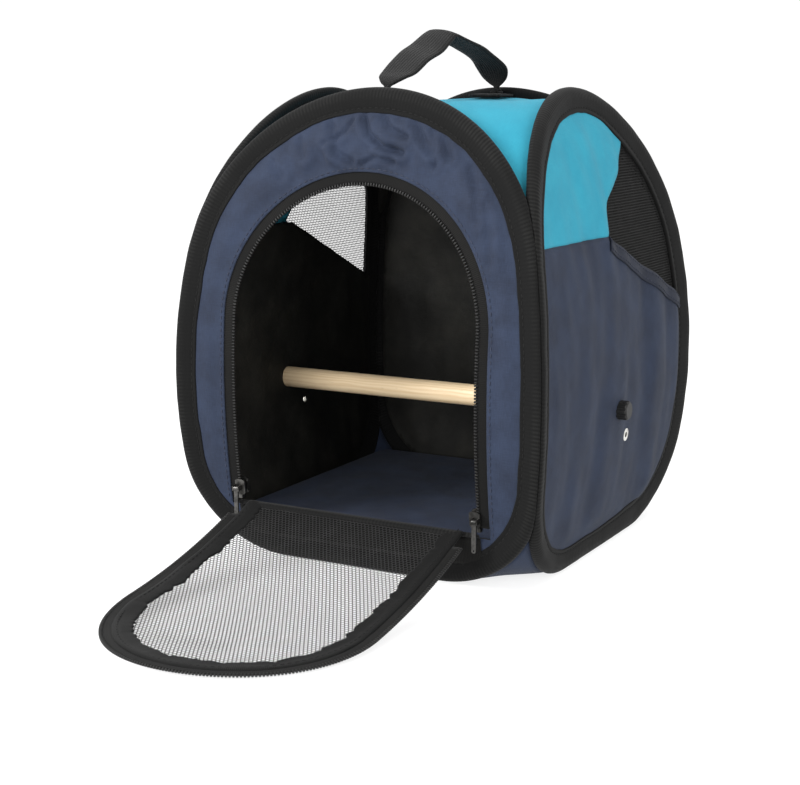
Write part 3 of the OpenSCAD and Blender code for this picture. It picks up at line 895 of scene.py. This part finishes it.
def creased(u, v):
    """Height of the creases at a point: a sharp valley with a softer ridge on both sides."""
    if v < CREASES_FROM:
        return 0
    found = 0
    for line, depth, width in CREASE_LINES:
        d = off_line(u, v, line)
        if d < 6 * width:
            ridge = 0.7 * math.exp(-((d / width - 2.2) / 1.4) ** 2)
            found += 1.6 * depth * (ridge - math.exp(-(d / width) ** 2))
    return found * held(u, v, 0.004)


def front_relief(u, v):
    out = arch_distance(u, v) - DOORWAY_R
    free = held(u, v) * ramp(out, 0, 0.012)
    swell = 0.0030 * math.sin(math.pi * ramp(out, -0.006, 0.05)) + 0.0018 * ripples(u, v, 0.03, 0.07, 2.2)
    angle = math.degrees(math.atan2(max(0, v - ARCH_Z), u))
    folds = 0
    for middle, width, height, lean in GATHERS:
        folds += 1.7 * height * MM * math.exp(-((angle - middle - lean * out / 0.03) / width) ** 2)
    folds += 0.0007 * ripples(u, v, 0.012, 0.012, 5.1) * ramp(v, 0.2, 0.26)
    return PANEL_OFF + free * (swell + folds) + creased(u, v) * ramp(out, 0, 0.005)


def side_relief(u, v):
    sway = 0.03 * noise.noise(Vector((u * 7, v * 5, 3.3)))
    pleats = 0.0030 * ripples(u + sway, v, 0.026, 0.26, 4.7) + 0.0005 * ripples(u - sway, v, 0.011, 0.16, 2.1)
    swell = 0.0022 * ripples(u, v, 0.05, 0.12, 8.4) + 0.0009 * ripples(u, v, 0.016, 0.03, 1.4)
    seam = -0.0005 * math.exp(-((v - seam_height(u)) / 0.0012) ** 2)
    return PANEL_OFF + held(u, v) * (0.0014 + pleats + swell) + seam


def back_relief(u, v):
    swell = 0.0022 * ripples(u, v, 0.05, 0.09, 6.6) + 0.0008 * ripples(u, v, 0.018, 0.03, 4.4)
    return PANEL_OFF + held(u, v) * (0.0015 + swell)


def lining_relief(seed):
    def relief(u, v):
        creases = 0.0012 * ripples(u, v, 0.03, 0.05, seed) + 0.0008 * ripples(u, v, 0.012, 0.02, seed + 3)
        return LINING_OFF - held(u, v) * (0.0016 + creases)
    return relief


# Lines and areas of the cut cloths


def seam_height(u):
    """Height of the seam under the yoke and the window."""
    return SEAM_Z - max(0, u - WINDOW_Y) * WINDOW_DROP / (HALF_W - WINDOW_Y)


YOKE_EDGE = [(WINDOW_Y, SEAM_Z), (0.003, 0.235), (0.043, 0.261), (0.068, 0.288)]
SMOOTH_EDGE = [(p.x, p.y) for p in curve_through([(u, v, 0) for u, v in YOKE_EDGE], 24)]


def yoke_end(v):
    """How far back the yoke reaches at a height."""
    for (a, b), (c, d) in zip(SMOOTH_EDGE, SMOOTH_EDGE[1:]):
        if b <= v <= d:
            return mixed(a, c, (v - b) / (d - b))
    return SMOOTH_EDGE[-1][0] if v > SEAM_Z else SMOOTH_EDGE[0][0]


def in_lower(u, v):
    return v < seam_height(u) and all(math.hypot(u - x, v - z) > r for x, z, r in HOLES)


def in_yoke(u, v):
    return v > seam_height(u) and v > SEAM_Z and u < yoke_end(v)


def in_window(u, v, tuck):
    """Whether a point is in the window, or within a tuck of it."""
    edge = yoke_end(v) if v > SEAM_Z else WINDOW_Y
    return v > seam_height(u) - tuck and u > edge - tuck


def everywhere(u, v):
    return True


SEAM_LINE = [(-HALF_W, SEAM_Z), (WINDOW_Y, SEAM_Z), (HALF_W, SEAM_Z - WINDOW_DROP)]
EDGE_LINE = SMOOTH_EDGE + [(SMOOTH_EDGE[-1][0], RING_H + 0.01)]
DOORWAY_LINE = [(u, v) for u, v, _, _ in arch_stations(DOORWAY_R, SILL_Z, 0.004)]
DOORWAY_LINE.append(DOORWAY_LINE[0])


def beside_doorway(u, v):
    return arch_distance(u, v) > DOORWAY_R or v < SILL_Z


def loop_round(x, z, r):
    turns = [math.pi * k / 8 for k in range(17)]
    return [(x + r * math.cos(a), z + r * math.sin(a)) for a in turns]


# Flat sizes and areas of the cut cloths
RING_FLAT = (0.246, 0.287)
RING_AREA = 0.062
DOORWAY_AREA = 2 * DOORWAY_R * (ARCH_Z - SILL_Z) + math.pi * DOORWAY_R ** 2 / 2
LOWER_FLAT = (0.246, 0.202)
LOWER_AREA = 0.0432
YOKE_FLAT = (0.158, 0.085)
YOKE_AREA = 0.0089
ROOF_FLAT = (0.222, 0.222)
ROOF_AREA = 0.0415
BASE_FLAT = (0.240, 0.240)
BASE_AREA = 0.0530


def wall_sheet(name, slot, node, relief, step, side, keep, lines, flat, area):
    """A cloth stretched over a wall in its binding."""
    cloth = wall_cloth(name, WALLS[side], keep, relief, lines, step, side == "left")
    finished(cloth, "carrier", slot, node)
    side + "_binding_pad"


FRONT = ("front", beside_doorway, [DOORWAY_LINE], RING_FLAT, RING_AREA - DOORWAY_AREA)
BACK = ("back", everywhere, [], RING_FLAT, RING_AREA)
wall_sheet("front_cloth", "navy_fabric", "front_panel", front_relief, 0.0019, *FRONT)
wall_sheet("front_lining_cloth", "lining", "front_lining", lining_relief(1.1), 0.004, *FRONT)
wall_sheet("back_cloth", "navy_fabric", "back_panel", back_relief, 0.004, *BACK)
wall_sheet("back_lining_cloth", "lining", "back_lining", lining_relief(4.2), 0.004, *BACK)


def side_cloths(side):
    lower = (side, in_lower, [SEAM_LINE] + [loop_round(*hole) for hole in HOLES], LOWER_FLAT, LOWER_AREA)
    yoke = (side, in_yoke, [SEAM_LINE, EDGE_LINE], YOKE_FLAT, YOKE_AREA)
    wall_sheet(side + "_cloth", "navy_fabric", side + "_panel", side_relief, 0.003, *lower)
    wall_sheet(side + "_lining_cloth", "lining", side + "_lining", lining_relief(len(side)), 0.004, *lower)
    wall_sheet(side + "_yoke_cloth", "turquoise_fabric", side + "_yoke", side_relief, 0.003, *yoke)


# Fold of the hem from its top: how far down, and how far it stands off the cloth
HEM_SECTION = [
    (-0.0006, -0.0008),
    (0.0, 0.0),
    (0.0008, 0.0003),
    (0.0025, 0.0004),
    (0.0045, 0.0002),
    (0.0065, 0.0004),
    (0.0082, 0.0003),
    (0.009, -0.0002),
]
HEM_STEP = 0.0025
HEM_SEAMS = (0.0018, 0.0072)


def window_hem(side):
    """Folded band under the window with two rows of stitches."""
    length = math.hypot(HALF_W - WINDOW_Y, WINDOW_DROP)
    along = ((HALF_W - WINDOW_Y) / length, -WINDOW_DROP / length)
    stations = []
    distance = 0.0005
    while True:
        u, v = WINDOW_Y + along[0] * distance, SEAM_Z + along[1] * distance
        if inset_of(u, v) < BINDING_W - 0.0015:
            break
        stations.append((u, v))
        distance += HEM_STEP

    def on_cloth(u, v, off):
        return WALLS[side](u, v, side_relief(u, v) + off)

    def point(i, j):
        u, v = stations[i]
        drop, rise = HEM_SECTION[j]
        return on_cloth(u + along[1] * drop, v - along[0] * drop, 0.0011 + rise)

    def uv(i, j):
        return i * HEM_STEP, HEM_SECTION[j][0]

    hem = grid_piece(side + "_hem_cloth", len(stations), len(HEM_SECTION), point, uv, flip=side == "right")
    finished(thick(hem, CLOTH_T), "carrier", "hem", side + "_window_hem")
    for row, drop in enumerate(HEM_SEAMS):
        line = [(u + along[1] * drop, v - along[0] * drop, along[1], -along[0]) for u, v in stations]
        name = f"{side}_hem_stitches_{row + 1}"
        stitch_row(name, on_cloth, line, 0.0019, "carrier", "navy", MM + 2 * MM * row)


def net_mesh(name, place, keep, relief, low, high, pitch, strand):
    """A net of hexagonal gaps, each a frame of six flat strands."""
    outer = pitch / math.sqrt(3)
    inner = (pitch - strand) / math.sqrt(3)
    row = pitch * math.sqrt(3) / 2
    turns = [(math.cos(math.pi * (k + 0.5) / 3), math.sin(math.pi * (k + 0.5) / 3)) for k in range(6)]
    spots = {}
    flat = []

    def index(u, v):
        key = (round(u * 1e5), round(v * 1e5))
        if key not in spots:
            spots[key] = len(flat)
            flat.append((u, v))
        return spots[key]

    faces = []
    for j in range(int((high[1] - low[1]) / row)):
        for i in range(int((high[0] - low[0]) / pitch)):
            u, v = low[0] + (i + 0.5 * (j % 2)) * pitch, low[1] + j * row
            if not keep(u, v):
                continue
            rim = [index(u + outer * c, v + outer * s) for c, s in turns]
            gap = []
            for c, s in turns:
                gap.append(len(flat))
                flat.append((u + inner * c, v + inner * s))
            for k in range(6):
                faces.append([rim[k], rim[(k + 1) % 6], gap[(k + 1) % 6], gap[k]])
    points = [place(u, v, relief(u, v)) for u, v in flat]
    corners = [flat[k] for face in faces for k in face]
    return thick(new_piece(name, points, faces, corners), NET_T)


# Pitch and width of strand of the nets
WINDOW_MESH = (0.0021, 0.00042)
DOOR_MESH = (0.0026, 0.00044)


def window_net(side):
    place = WALLS[side]

    def sag(u, v):
        return NET_OFF - 0.0006 * held(u, v) + 0.0007 * held(u, v) * ripples(u, v, 0.04, 0.04, 9.5)

    def keep(u, v):
        return in_window(u, v, 0.006) and inset_of(u, v) > SHEET_INSET

    low, high = (WINDOW_Y - 0.02, SEAM_Z - WINDOW_DROP - 0.02), (HALF_W, RING_H)
    net = net_mesh(side + "_net", place, keep, sag, low, high, *WINDOW_MESH)
    finished(net, "carrier", "net", side + "_window_net")


for side in ("right", "left"):
    side_cloths(side)
    window_hem(side)
    window_net(side)


# Roof and base


def height_on(d, limit, arc):
    """Height at a distance along the diagonals of a curve that gives its reach and height at an angle."""
    def reach(t):
        x, z = arc(t)
        return (x + wall_half(z, MEMBRANE_OFF)) / math.sqrt(2)

    if d <= reach(0):
        return arc(0)[1]
    low, high = 0.0, math.radians(limit)
    for _ in range(30):
        t = (low + high) / 2
        if reach(t) < d:
            low = t
        else:
            high = t
    return arc(t)[1]


def roof_z(d):
    r = CROWN_R - CROWN_SINK
    return height_on(d, 75, lambda t: (r * math.sin(t), CROWN_Z + r * math.cos(t)))


def base_z(d):
    return height_on(d, 88, lambda t: (FOOT_X + FOOT_R * math.sin(t), FOOT_R * (1 - math.cos(t))))


def soft_size(x, r=0.016):
    """Size of a number, rounded where it passes zero."""
    return abs(x) if abs(x) > r else (x * x + r * r) / (2 * r)


def membrane(name, height, relief, count=64):
    """A sheet between the four rings, whose height follows the distance along the diagonals."""
    spots = {}
    for i in range(count + 1):
        for j in range(count + 1):
            a, b = 2 * i / count - 1, 2 * j / count - 1
            half = wall_half(height(0), MEMBRANE_OFF)
            for _ in range(24):
                x, y = a * half, b * half
                z = height((soft_size(x) + soft_size(y)) / math.sqrt(2))
                half = mixed(half, wall_half(z, TUCKED_OFF), 0.7)
            spots[i, j] = Vector((x, y, z + relief(a, b, x, y)))
    flat = {key: tuple(spot.xy) for key, spot in spots.items()}
    return grid_piece(name, count + 1, count + 1, lambda i, j: spots[i, j], lambda i, j: flat[i, j])


def roof_relief(a, b, x, y):
    free = (1 - a ** 6) * (1 - b ** 6)
    corner = ramp(abs(a * b), 0.25, 0.8)
    swell = -0.003 * (1 - a * a) * (1 - b * b) + 0.0016 * ripples(x, y, 0.05, 0.03, 3.7)
    creases = 0.0011 * ripples(x + y, (x - y) * 4, 0.04, 0.05, 2.9) * corner
    return -0.0008 + free * (swell + creases)


# A black sheet just under the roof, with no part of its own: painted shade for the inside of the roof.
def roof_shade_sheet_relief(a, b, x, y):
    slack = (1 - a ** 4) * (1 - b ** 4) * (1 + ripples(x, y, 0.03, 0.03, 8.8))
    return roof_relief(a, b, x, y) - 0.0016 - 0.0012 * slack


def base_relief(a, b, x, y):
    corner = ramp(abs(a * b), 0.35, 0.9)
    return 0.0008 + 0.0012 * corner * ripples(x, y, 0.02, 0.02, 7.7)


MEMBRANES = [
    ("roof_cloth", roof_z, roof_relief, "turquoise_fabric", ["top_panel"], ROOF_FLAT, ROOF_AREA),
    # The black sheet under the roof is painted shade, in the lining's finish.
    ("roof_painted_shade_sheet", roof_z, roof_shade_sheet_relief, "lining", [], ROOF_FLAT, ROOF_AREA),
    ("base_cloth", base_z, base_relief, "navy_fabric", ["base_panel"], BASE_FLAT, BASE_AREA),
]
for name, height, relief, slot, nodes, flat, area in MEMBRANES:
    cloth = thick(membrane(name, height, relief), CLOTH_T)
    finished(cloth, "carrier", slot, *nodes)


# Floor board in its sleeve


def floor_sleeve():
    """A flat sleeve with soft rounded edges, slightly puckered over its board."""
    under_z, top_z = [corner.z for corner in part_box("floor_cover")]
    half_t = (top_z - under_z) / 2
    middle = (top_z + under_z) / 2
    steps = [0, 0.0002, 0.0007, 0.0014, 0.0024, 0.004, 0.007]
    inner = [steps[-1] + (FLOOR_HALF - steps[-1]) * k / 30 for k in range(1, 31)]
    line = [d - FLOOR_HALF for d in steps + inner]
    line += [-x for x in reversed(line[:-1])]
    count = len(line)
    corner = 0.008

    def spot(i, j, side):
        x, y = line[i], line[j]
        ex, ey = FLOOR_HALF - abs(x), FLOOR_HALF - abs(y)
        if ex < corner and ey < corner:
            turn = Vector((corner - ex, corner - ey))
            reach = max(turn.x, turn.y)
            turn = turn.normalized() * reach if reach > 0 else turn
            edge = corner - reach
            x = math.copysign(FLOOR_HALF - corner + turn.x, x)
            y = math.copysign(FLOOR_HALF - corner + turn.y, y)
        else:
            edge = min(ex, ey)
        depth = min(edge, half_t)
        half = math.sqrt(max(0, 2 * half_t * depth - depth * depth))
        pucker = 0.0005 * ripples(x, y, 0.014, 0.014, 4.9) * ramp(edge, 0.001, 0.01)
        swell = 0.0006 * ripples(x, y, 0.06, 0.06, 1.9) * ramp(edge, 0.001, 0.02)
        return Vector((x, y, middle + side * half + (pucker + swell if side > 0 else 0)))

    def uv(i, j):
        return line[i], line[j]

    top = grid_piece("floor_sleeve", count, count, lambda i, j: spot(i, j, 1), uv)
    under = grid_piece("floor_under", count, count, lambda i, j: spot(i, j, -1), uv, flip=True)
    pick(top)
    under.select_set(True)
    bpy.ops.object.join()
    outwards(edited(top, bpy.ops.mesh.remove_doubles, threshold=0.00001))
    finished(top, "carrier", "floor_fabric", "floor_cover")


floor_sleeve()


# Zip round the doorway and the door


def zip_tape(name, place, stations, inner, outer, off):
    """A flat tape beside a line, from one distance to another off it."""
    columns = 5
    lengths = line_lengths(stations)

    def point(i, j):
        u, v, nu, nv = stations[i]
        d = mixed(inner, outer, j / (columns - 1))
        wave = 0.00012 * noise.noise(Vector((u, v, 0)) * 90)
        return place(u + nu * d, v + nv * d, off + wave)

    def uv(i, j):
        return lengths[i], mixed(inner, outer, j / (columns - 1))

    return thick(grid_piece(name, len(stations), columns, point, uv), TAPE_T)


def tape_sheet(piece, stations):
    line_lengths(stations)[-1]


def zip_teeth(name, place, r, foot, body, node, turned):
    stations = arch_stations(r, foot, 0.002)
    frames = frames_along(place, stations, 0, ZIP_PITCH, ZIP_PITCH / 2)
    if turned:
        frames = [(o, -a, -b, c) for o, a, b, c in frames]
    finished(outwards(repeated(name, TOOTH, frames)), body, "zip_coil", node)


tape_line = arch_stations(ARCH_R, ZIP_FOOT_Z, 0.003)
frame_tape = zip_tape("doorway_zip_tape", on_front, tape_line, 0.0008, FRAME_TAPE_W + 0.002, -0.0004)
finished(frame_tape, "carrier", "zip_tape", "frame_zip_tape")
tape_sheet(frame_tape, tape_line)
tooth_r = ARCH_R + COIL_W * 0.55
zip_teeth("doorway_zip_teeth", on_front, tooth_r, ZIP_FOOT_Z, "carrier", "frame_zip_coil", False)

door_line = arch_stations(DOOR_COIL_R, DOOR_ZIP_Z, 0.003)
door_tape = zip_tape("door_zip_tape_cloth", on_door, door_line, -DOOR_TAPE_W - 0.005, -0.0008, 0.0)
finished(door_tape, "door", "zip_tape", "door_zip_tape")
tape_sheet(door_tape, door_line)
tooth_r = DOOR_COIL_R - COIL_W * 0.55
zip_teeth("door_zip_teeth", on_door, tooth_r, DOOR_ZIP_Z, "door", "door_zip_coil", True)


def on_front_cloth(u, v, off):
    return on_front(u, v, front_relief(u, v) + off)


edge_line = arch_stations(DOORWAY_R + 0.0022, SILL_Z + 0.004, 0.003)
stitch_row("doorway_stitches", on_front_cloth, edge_line, 0.00045, "carrier", "navy")


# Door: bound edge, net, piping and the tape along the sill

DOOR_FOOT_BAR = 0.005


def door_edge():
    """Folded edge round the door: smooth outside, and uneven inside, where it was trimmed."""
    stations = arch_stations(DOOR_BOUND_R, DOOR_FOOT_Z, 0.0012)
    lengths = line_lengths(stations)
    shares = [0, 0.02, 0.08, 0.2, 0.35, 0.5, 0.65, 0.78, 0.86, 0.92, 0.97, 1]
    half = DOOR_EDGE_T / 2
    profile = [(s, half * math.sqrt(max(0, 1 - (2 * s - 1) ** 8)) * mixed(1, 0.55, s)) for s in shares]
    profile += [(s, -h) for s, h in reversed(profile[1:-1])]
    columns = len(profile)

    def point(i, j):
        u, v, nu, nv = stations[i]
        s, h = profile[j]
        spot = Vector((u, v, 0))
        ragged = 0.0030 * noise.noise(spot * 48) + 0.0022 * noise.noise(spot * 150)
        ragged += 0.0016 * noise.noise(spot * 360)
        d = s * (DOOR_EDGE_W + ragged)
        swell = 0.0005 * noise.noise(spot * 45 + Vector((0, 0, s * 2)))
        return on_door(u - nu * d, v - nv * d, h + swell)

    def uv(i, j):
        return lengths[i], profile[j % columns][0] * DOOR_EDGE_W

    piece = closed_tube("door_edge", len(stations), columns, point, uv)
    finished(piece, "door", "binding", "door_binding")
    piece.data.materials[0] = DOOR_TAPE
    inner = [(u - nu * 0.0035, v - nv * 0.0035, nu, nv) for u, v, nu, nv in stations]
    stitch_row("door_edge_stitches", on_door, inner, -half - SEWN_GAP, "door", "black")


def door_net_relief(u, v):
    return 0.0009 * ripples(u, v, 0.03, 0.03, 6.1) * ramp(NET_R - arch_distance(u, v), 0, 0.02)


def in_door_net(u, v):
    return arch_distance(u, v) < NET_R + 0.004 and v > DOOR_FOOT_Z + 0.0015


def foot_bar():
    """Narrow folded strip that joins the foot of the net to the piping."""
    reach = DOOR_BOUND_R - 0.002
    rows = 60
    profile = [(0, 0.0011), (0.3, 0.0014), (0.75, 0.0012), (1, 0.0005)]
    profile += [(1, -0.0005), (0.6, -0.0012), (0, -0.0011)]

    def point(i, j):
        u = reach * (2 * i / (rows - 1) - 1)
        s, h = profile[j % len(profile)]
        ragged = 0.0005 * noise.noise(Vector((u * 160, 2.1, 0)))
        return on_door(u, DOOR_FOOT_Z + s * (DOOR_FOOT_BAR + ragged), h)

    piece = closed_tube("door_foot_strip", rows, len(profile), point, lambda i, j: (i * 0.0026, MM * j))
    finished(piece, "door", "binding")


def piping():
    """Round piping on the fold, covered in the binding's tape."""
    reach = FRAME_COIL_R
    rows, columns = 90, 14

    def point(i, j):
        x = reach * (2 * i / (rows - 1) - 1)
        end = ramp(reach - abs(x), -0.0004, 0.0016)
        a = 2 * math.pi * j / columns
        uneven = 1 + 0.06 * noise.noise(Vector((x * 180, math.cos(a), math.sin(a))))
        r = PIPING_R * max(0.25, end) * uneven
        y, z = r * math.cos(a), r * math.sin(a)
        web = 1.3 if math.cos(a - DOOR_OPEN_A - QUARTER) > 0.8 else 1
        return Vector((x, HINGE_Y + y * web, HINGE_Z + z * web))

    piece = closed_tube("door_piping", rows, columns, point, lambda i, j: (i * 0.002, j * 0.0007))
    finished(piece, "door", "binding", "door_hinge_piping")


def sill_tape():
    """Tape under the piping, reaching down to the binding: its lower band stands in for the shade on the foot
    of the front wall, as painted shade.
    """
    # Below the tape's own width, down to the binding, the black band is painted shade.
    shade_band_foot_z, top = BINDING_W - MM, HINGE_Z - PIPING_R - 0.0004
    reach = FRAME_COIL_R
    rows, columns = 70, 9

    def point(i, j):
        u = reach * (2 * i / (rows - 1) - 1)
        v = mixed(shade_band_foot_z, top, j / (columns - 1))
        rise = max(front_relief(u, v) - PANEL_OFF, 0)
        return on_front(u, v, 0.0015 + rise + 0.0002 * noise.noise(Vector((u * 90, v * 90, 0))))

    piece = grid_piece("sill_tape", rows, columns, point, lambda i, j: (i * 0.0026, j * 0.0024))
    finished(thick(piece, CLOTH_T), "carrier", "zip_tape", "hinge_tape")


door_edge()
low, high = (-0.078, DOOR_FOOT_Z), (0.078, 0.26)
net = net_mesh("door_net_cloth", on_door, in_door_net, door_net_relief, low, high, *DOOR_MESH)
finished(net, "door", "door_net", "door_net")
foot_bar()
piping()
sill_tape()


# Carrying handle

HANDLE_Z = 0.3074
ROLL_Y = 0.0814
TAB_L = 0.022
ENDS = ((-1, "front"), (1, "back"))

# Left and right edges of the webbing from front to back: x, y and z of points chosen along each
LEFT_EDGE = [
    (-0.0015, -0.0814, 0.3074),
    (-0.0021, -0.0813, 0.3102),
    (-0.0055, -0.0800, 0.3126),
    (-0.0098, -0.0745, 0.3160),
    (-0.0122, -0.0640, 0.3205),
    (-0.0127, -0.0440, 0.3312),
    (-0.0125, -0.0252, 0.3385),
    (-0.0120, -0.0040, 0.3478),
    (-0.0115, 0.0040, 0.3482),
    (-0.0122, 0.0170, 0.3425),
    (-0.0125, 0.0400, 0.3370),
    (-0.0125, 0.0620, 0.3310),
    (-0.0122, 0.0730, 0.3240),
    (-0.0098, 0.0780, 0.3175),
    (-0.0055, 0.0805, 0.3128),
    (-0.0021, 0.0813, 0.3102),
    (-0.0015, 0.0814, 0.3074),
]
RIGHT_EDGE = [
    (0.0015, -0.0814, 0.3074),
    (0.0021, -0.0813, 0.3102),
    (0.0055, -0.0798, 0.3126),
    (0.0098, -0.0745, 0.3158),
    (0.0120, -0.0650, 0.3190),
    (0.0127, -0.0468, 0.3273),
    (0.0125, -0.0260, 0.3345),
    (0.0120, -0.0130, 0.3420),
    (0.0118, -0.0050, 0.3448),
    (0.0120, 0.0180, 0.3405),
    (0.0125, 0.0370, 0.3360),
    (0.0125, 0.0560, 0.3295),
    (0.0122, 0.0720, 0.3235),
    (0.0098, 0.0780, 0.3170),
    (0.0055, 0.0807, 0.3127),
    (0.0021, 0.0813, 0.3102),
    (0.0015, 0.0814, 0.3074),
]


def handle():
    """Webbing loop, pinched at the grip and gathered to a rolled end at the front and the back."""
    rows, columns = 120, 9
    left = curve_through(LEFT_EDGE, rows - 1)
    right = curve_through(RIGHT_EDGE, rows - 1)
    centre = [(a + b) / 2 for a, b in zip(left, right)]
    lengths = arc_lengths(centre)
    section = [(j / (columns - 1), 1) for j in range(columns)]
    section += [(j / (columns - 1), -1) for j in range(columns - 1, -1, -1)]

    def point(i, j):
        across, side = section[j % len(section)]
        ahead = centre[min(i + 1, rows - 1)] - centre[max(i - 1, 0)]
        up = (right[i] - left[i]).cross(ahead).normalized()
        rim = 1 - 0.35 * (2 * across - 1) ** 8
        curl = 0.0012 * (2 * across - 1) ** 2 * math.exp(-((i / rows - 0.47) / 0.1) ** 2)
        wave = 0.0004 * noise.noise(Vector((lengths[i] * 60, across * 2, 5)))
        gathered = 1 + 0.7 * math.exp(-(min(i, rows - 1 - i) / 6) ** 2)
        return left[i].lerp(right[i], across) + up * (side * rim * gathered * STRAP_T / 2 - curl + wave)

    def uv(i, j):
        return lengths[i], section[j % len(section)][0] * STRAP_W

    finished(closed_tube("handle_webbing", rows, len(section), point, uv), "handle", "webbing", "handle")


def roll_end(side, name):
    """Rolled end of the webbing, which turns in its sewn fold."""
    bpy.ops.mesh.primitive_cylinder_add(
        vertices=20,
        radius=0.0019,
        depth=0.010,
        location=(0, side * ROLL_Y, HANDLE_Z),
        rotation=(QUARTER, 0, 0),
    )
    piece = bpy.context.object
    piece.name = name + "_handle_roll"
    bpy.ops.object.transform_apply(location=True, rotation=True, scale=True)
    softened(piece, 0.0004, 2)
    piece.data.shade_smooth()
    finished(piece, "handle", "webbing")


def sewn_end(side, name):
    """End of the webbing sewn down on the roof, with its box of stitches."""
    far, near = side * (ROLL_Y + 0.0015), side * (ROLL_Y - TAB_L + MM)
    rows, columns = 24, 13
    base_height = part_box("handle_anchors")[0].z

    def point(i, j):
        y = mixed(near, far, i / (rows - 1))
        x = STRAP_W * (j / (columns - 1) - 0.5)
        edge = min(1, 6 * min(i, rows - 1 - i) / rows, 6 * min(j, columns - 1 - j) / columns)
        uneven = 0.0003 * noise.noise(Vector((x * 160, y * 160, 0)))
        return Vector((x, y, base_height + 0.0009 + 0.0006 * edge + uneven))

    def uv(i, j):
        return i * 0.001, j * 0.002

    piece = grid_piece(name + "_handle_tab", rows, columns, point, uv, flip=side > 0)
    finished(thick(piece, 0.0014), "carrier", "webbing", "handle_anchors")
    box_w, low, high = 0.0095, 0.004, TAB_L - 0.007
    corners = [(-box_w, low), (box_w, low), (box_w, high), (-box_w, high)]
    runs = [(0, 1), (1, 2), (2, 3), (3, 0), (0, 2), (1, 3)]
    places = []
    for (a, b), (c, d) in [(corners[k], corners[m]) for k, m in runs]:
        run = Vector((c - a, d - b, 0))
        count = max(2, round(run.length / 0.0032))
        along = Vector((run.x, run.y * side, 0)).normalized()
        across = Vector((-along.y, along.x, 0))
        for k in range(count):
            share = (k + 0.5) / count
            spot = Vector((mixed(a, c, share), near + side * mixed(b, d, share), base_height + 0.0022))
            places.append((spot, along, across, Vector((0, 0, 1))))
    stitches_at(name + "_handle_stitches", places, "carrier", "black")


def cradle(side, name):
    """Fold of webbing under and behind the roll."""
    rows, columns = 12, 11
    r = 0.0034 - 0.0006

    def point(i, j):
        y = side * ROLL_Y + 0.008 * (i / (rows - 1) - 0.5)
        a = math.pi + math.pi * j / (columns - 1)
        return Vector((r * math.cos(a), y, HANDLE_Z + r * math.sin(a) - 0.0004))

    def uv(i, j):
        return i * 0.0007, j * 0.001

    piece = grid_piece(name + "_handle_cradle", rows, columns, point, uv)
    finished(thick(piece, 0.001), "carrier", "webbing")


handle()
for side, name in ENDS:
    roll_end(side, name)
for side, name in ENDS:
    sewn_end(side, name)
    cradle(side, name)


# CAD nodes that keep their shape

KEPT = {
    "spring_steel": [side + "_spring" for side in SIDES],
    "board": ["floor_board"],
    "zip_metal": ["zip_stops", "right_slider", "left_slider", "right_pull", "left_pull"],
    "wood": ["perch"],
    "knob_plastic": ["right_knob", "left_knob"],
    "eyelet_metal": ["perch_eyelets", "spare_eyelets"],
}
for slot, names in KEPT.items():
    for name in names:
        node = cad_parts[name]
        node.data.materials.clear()
        node.data.materials.append(FINISHES[slot])


# Studio: pale floor, soft lights and the camera of the photograph


def studio_floor():
    bpy.ops.mesh.primitive_plane_add(size=8, location=(0, 0, -0.0002))
    floor = bpy.context.object
    floor.name = "studio_floor"
    floor.data.materials.append(stage_finish())


def soft_light(name, place, aim, size, power):
    lamp = bpy.data.lights.new(name, "AREA")
    lamp.shape = "DISK"
    lamp.size = size
    lamp.energy = power
    holder = bpy.data.objects.new(name, lamp)
    holder.location = place
    holder.rotation_euler = turned_to(Vector(aim) - Vector(place))
    bpy.context.scene.collection.objects.link(holder)


def turned_to(direction):
    return direction.to_track_quat("-Z", "Y").to_euler()


def photo_camera():
    """The camera of the photograph, round from the front, up and away from the middle of the view."""
    azimuth, elevation, distance = math.radians(28.76), math.radians(10.79), 1.1331
    aside, height = -0.0311, 0.0976
    target = Vector((math.cos(azimuth) * aside, math.sin(azimuth) * aside, height))
    level = math.cos(elevation)
    back = Vector((math.sin(azimuth) * level, -math.cos(azimuth) * level, math.sin(elevation)))
    lens = bpy.data.cameras.new("photo_camera")
    lens.sensor_width = 36
    lens.lens = 72.05
    lens.clip_start = 0.05
    holder = bpy.data.objects.new("photo_camera", lens)
    holder.location = target + back * distance
    holder.rotation_euler = turned_to(-back)
    bpy.context.scene.collection.objects.link(holder)
    bpy.context.scene.camera = holder


def sky():
    world = bpy.data.worlds.new("studio")
    world.use_nodes = True
    background = world.node_tree.nodes["Background"]
    background.inputs["Color"].default_value = (1, 1, 1, 1)
    background.inputs["Strength"].default_value = 1.02
    bpy.context.scene.world = world


studio_floor()
soft_light("key", (-1.1, -1.4, 1.2), (0, 0, 0.12), 0.9, 44)
soft_light("front", (0.1, -1.7, 0.45), (0, 0, 0.12), 0.7, 17)
soft_light("fill", (1.8, -0.9, 0.8), (0, 0, 0.12), 1.2, 20)
soft_light("top", (0.2, 0.3, 1.8), (0, 0, 0.2), 1.6, 8)
sky()
photo_camera()
bpy.context.scene.view_settings.view_transform = "Standard"
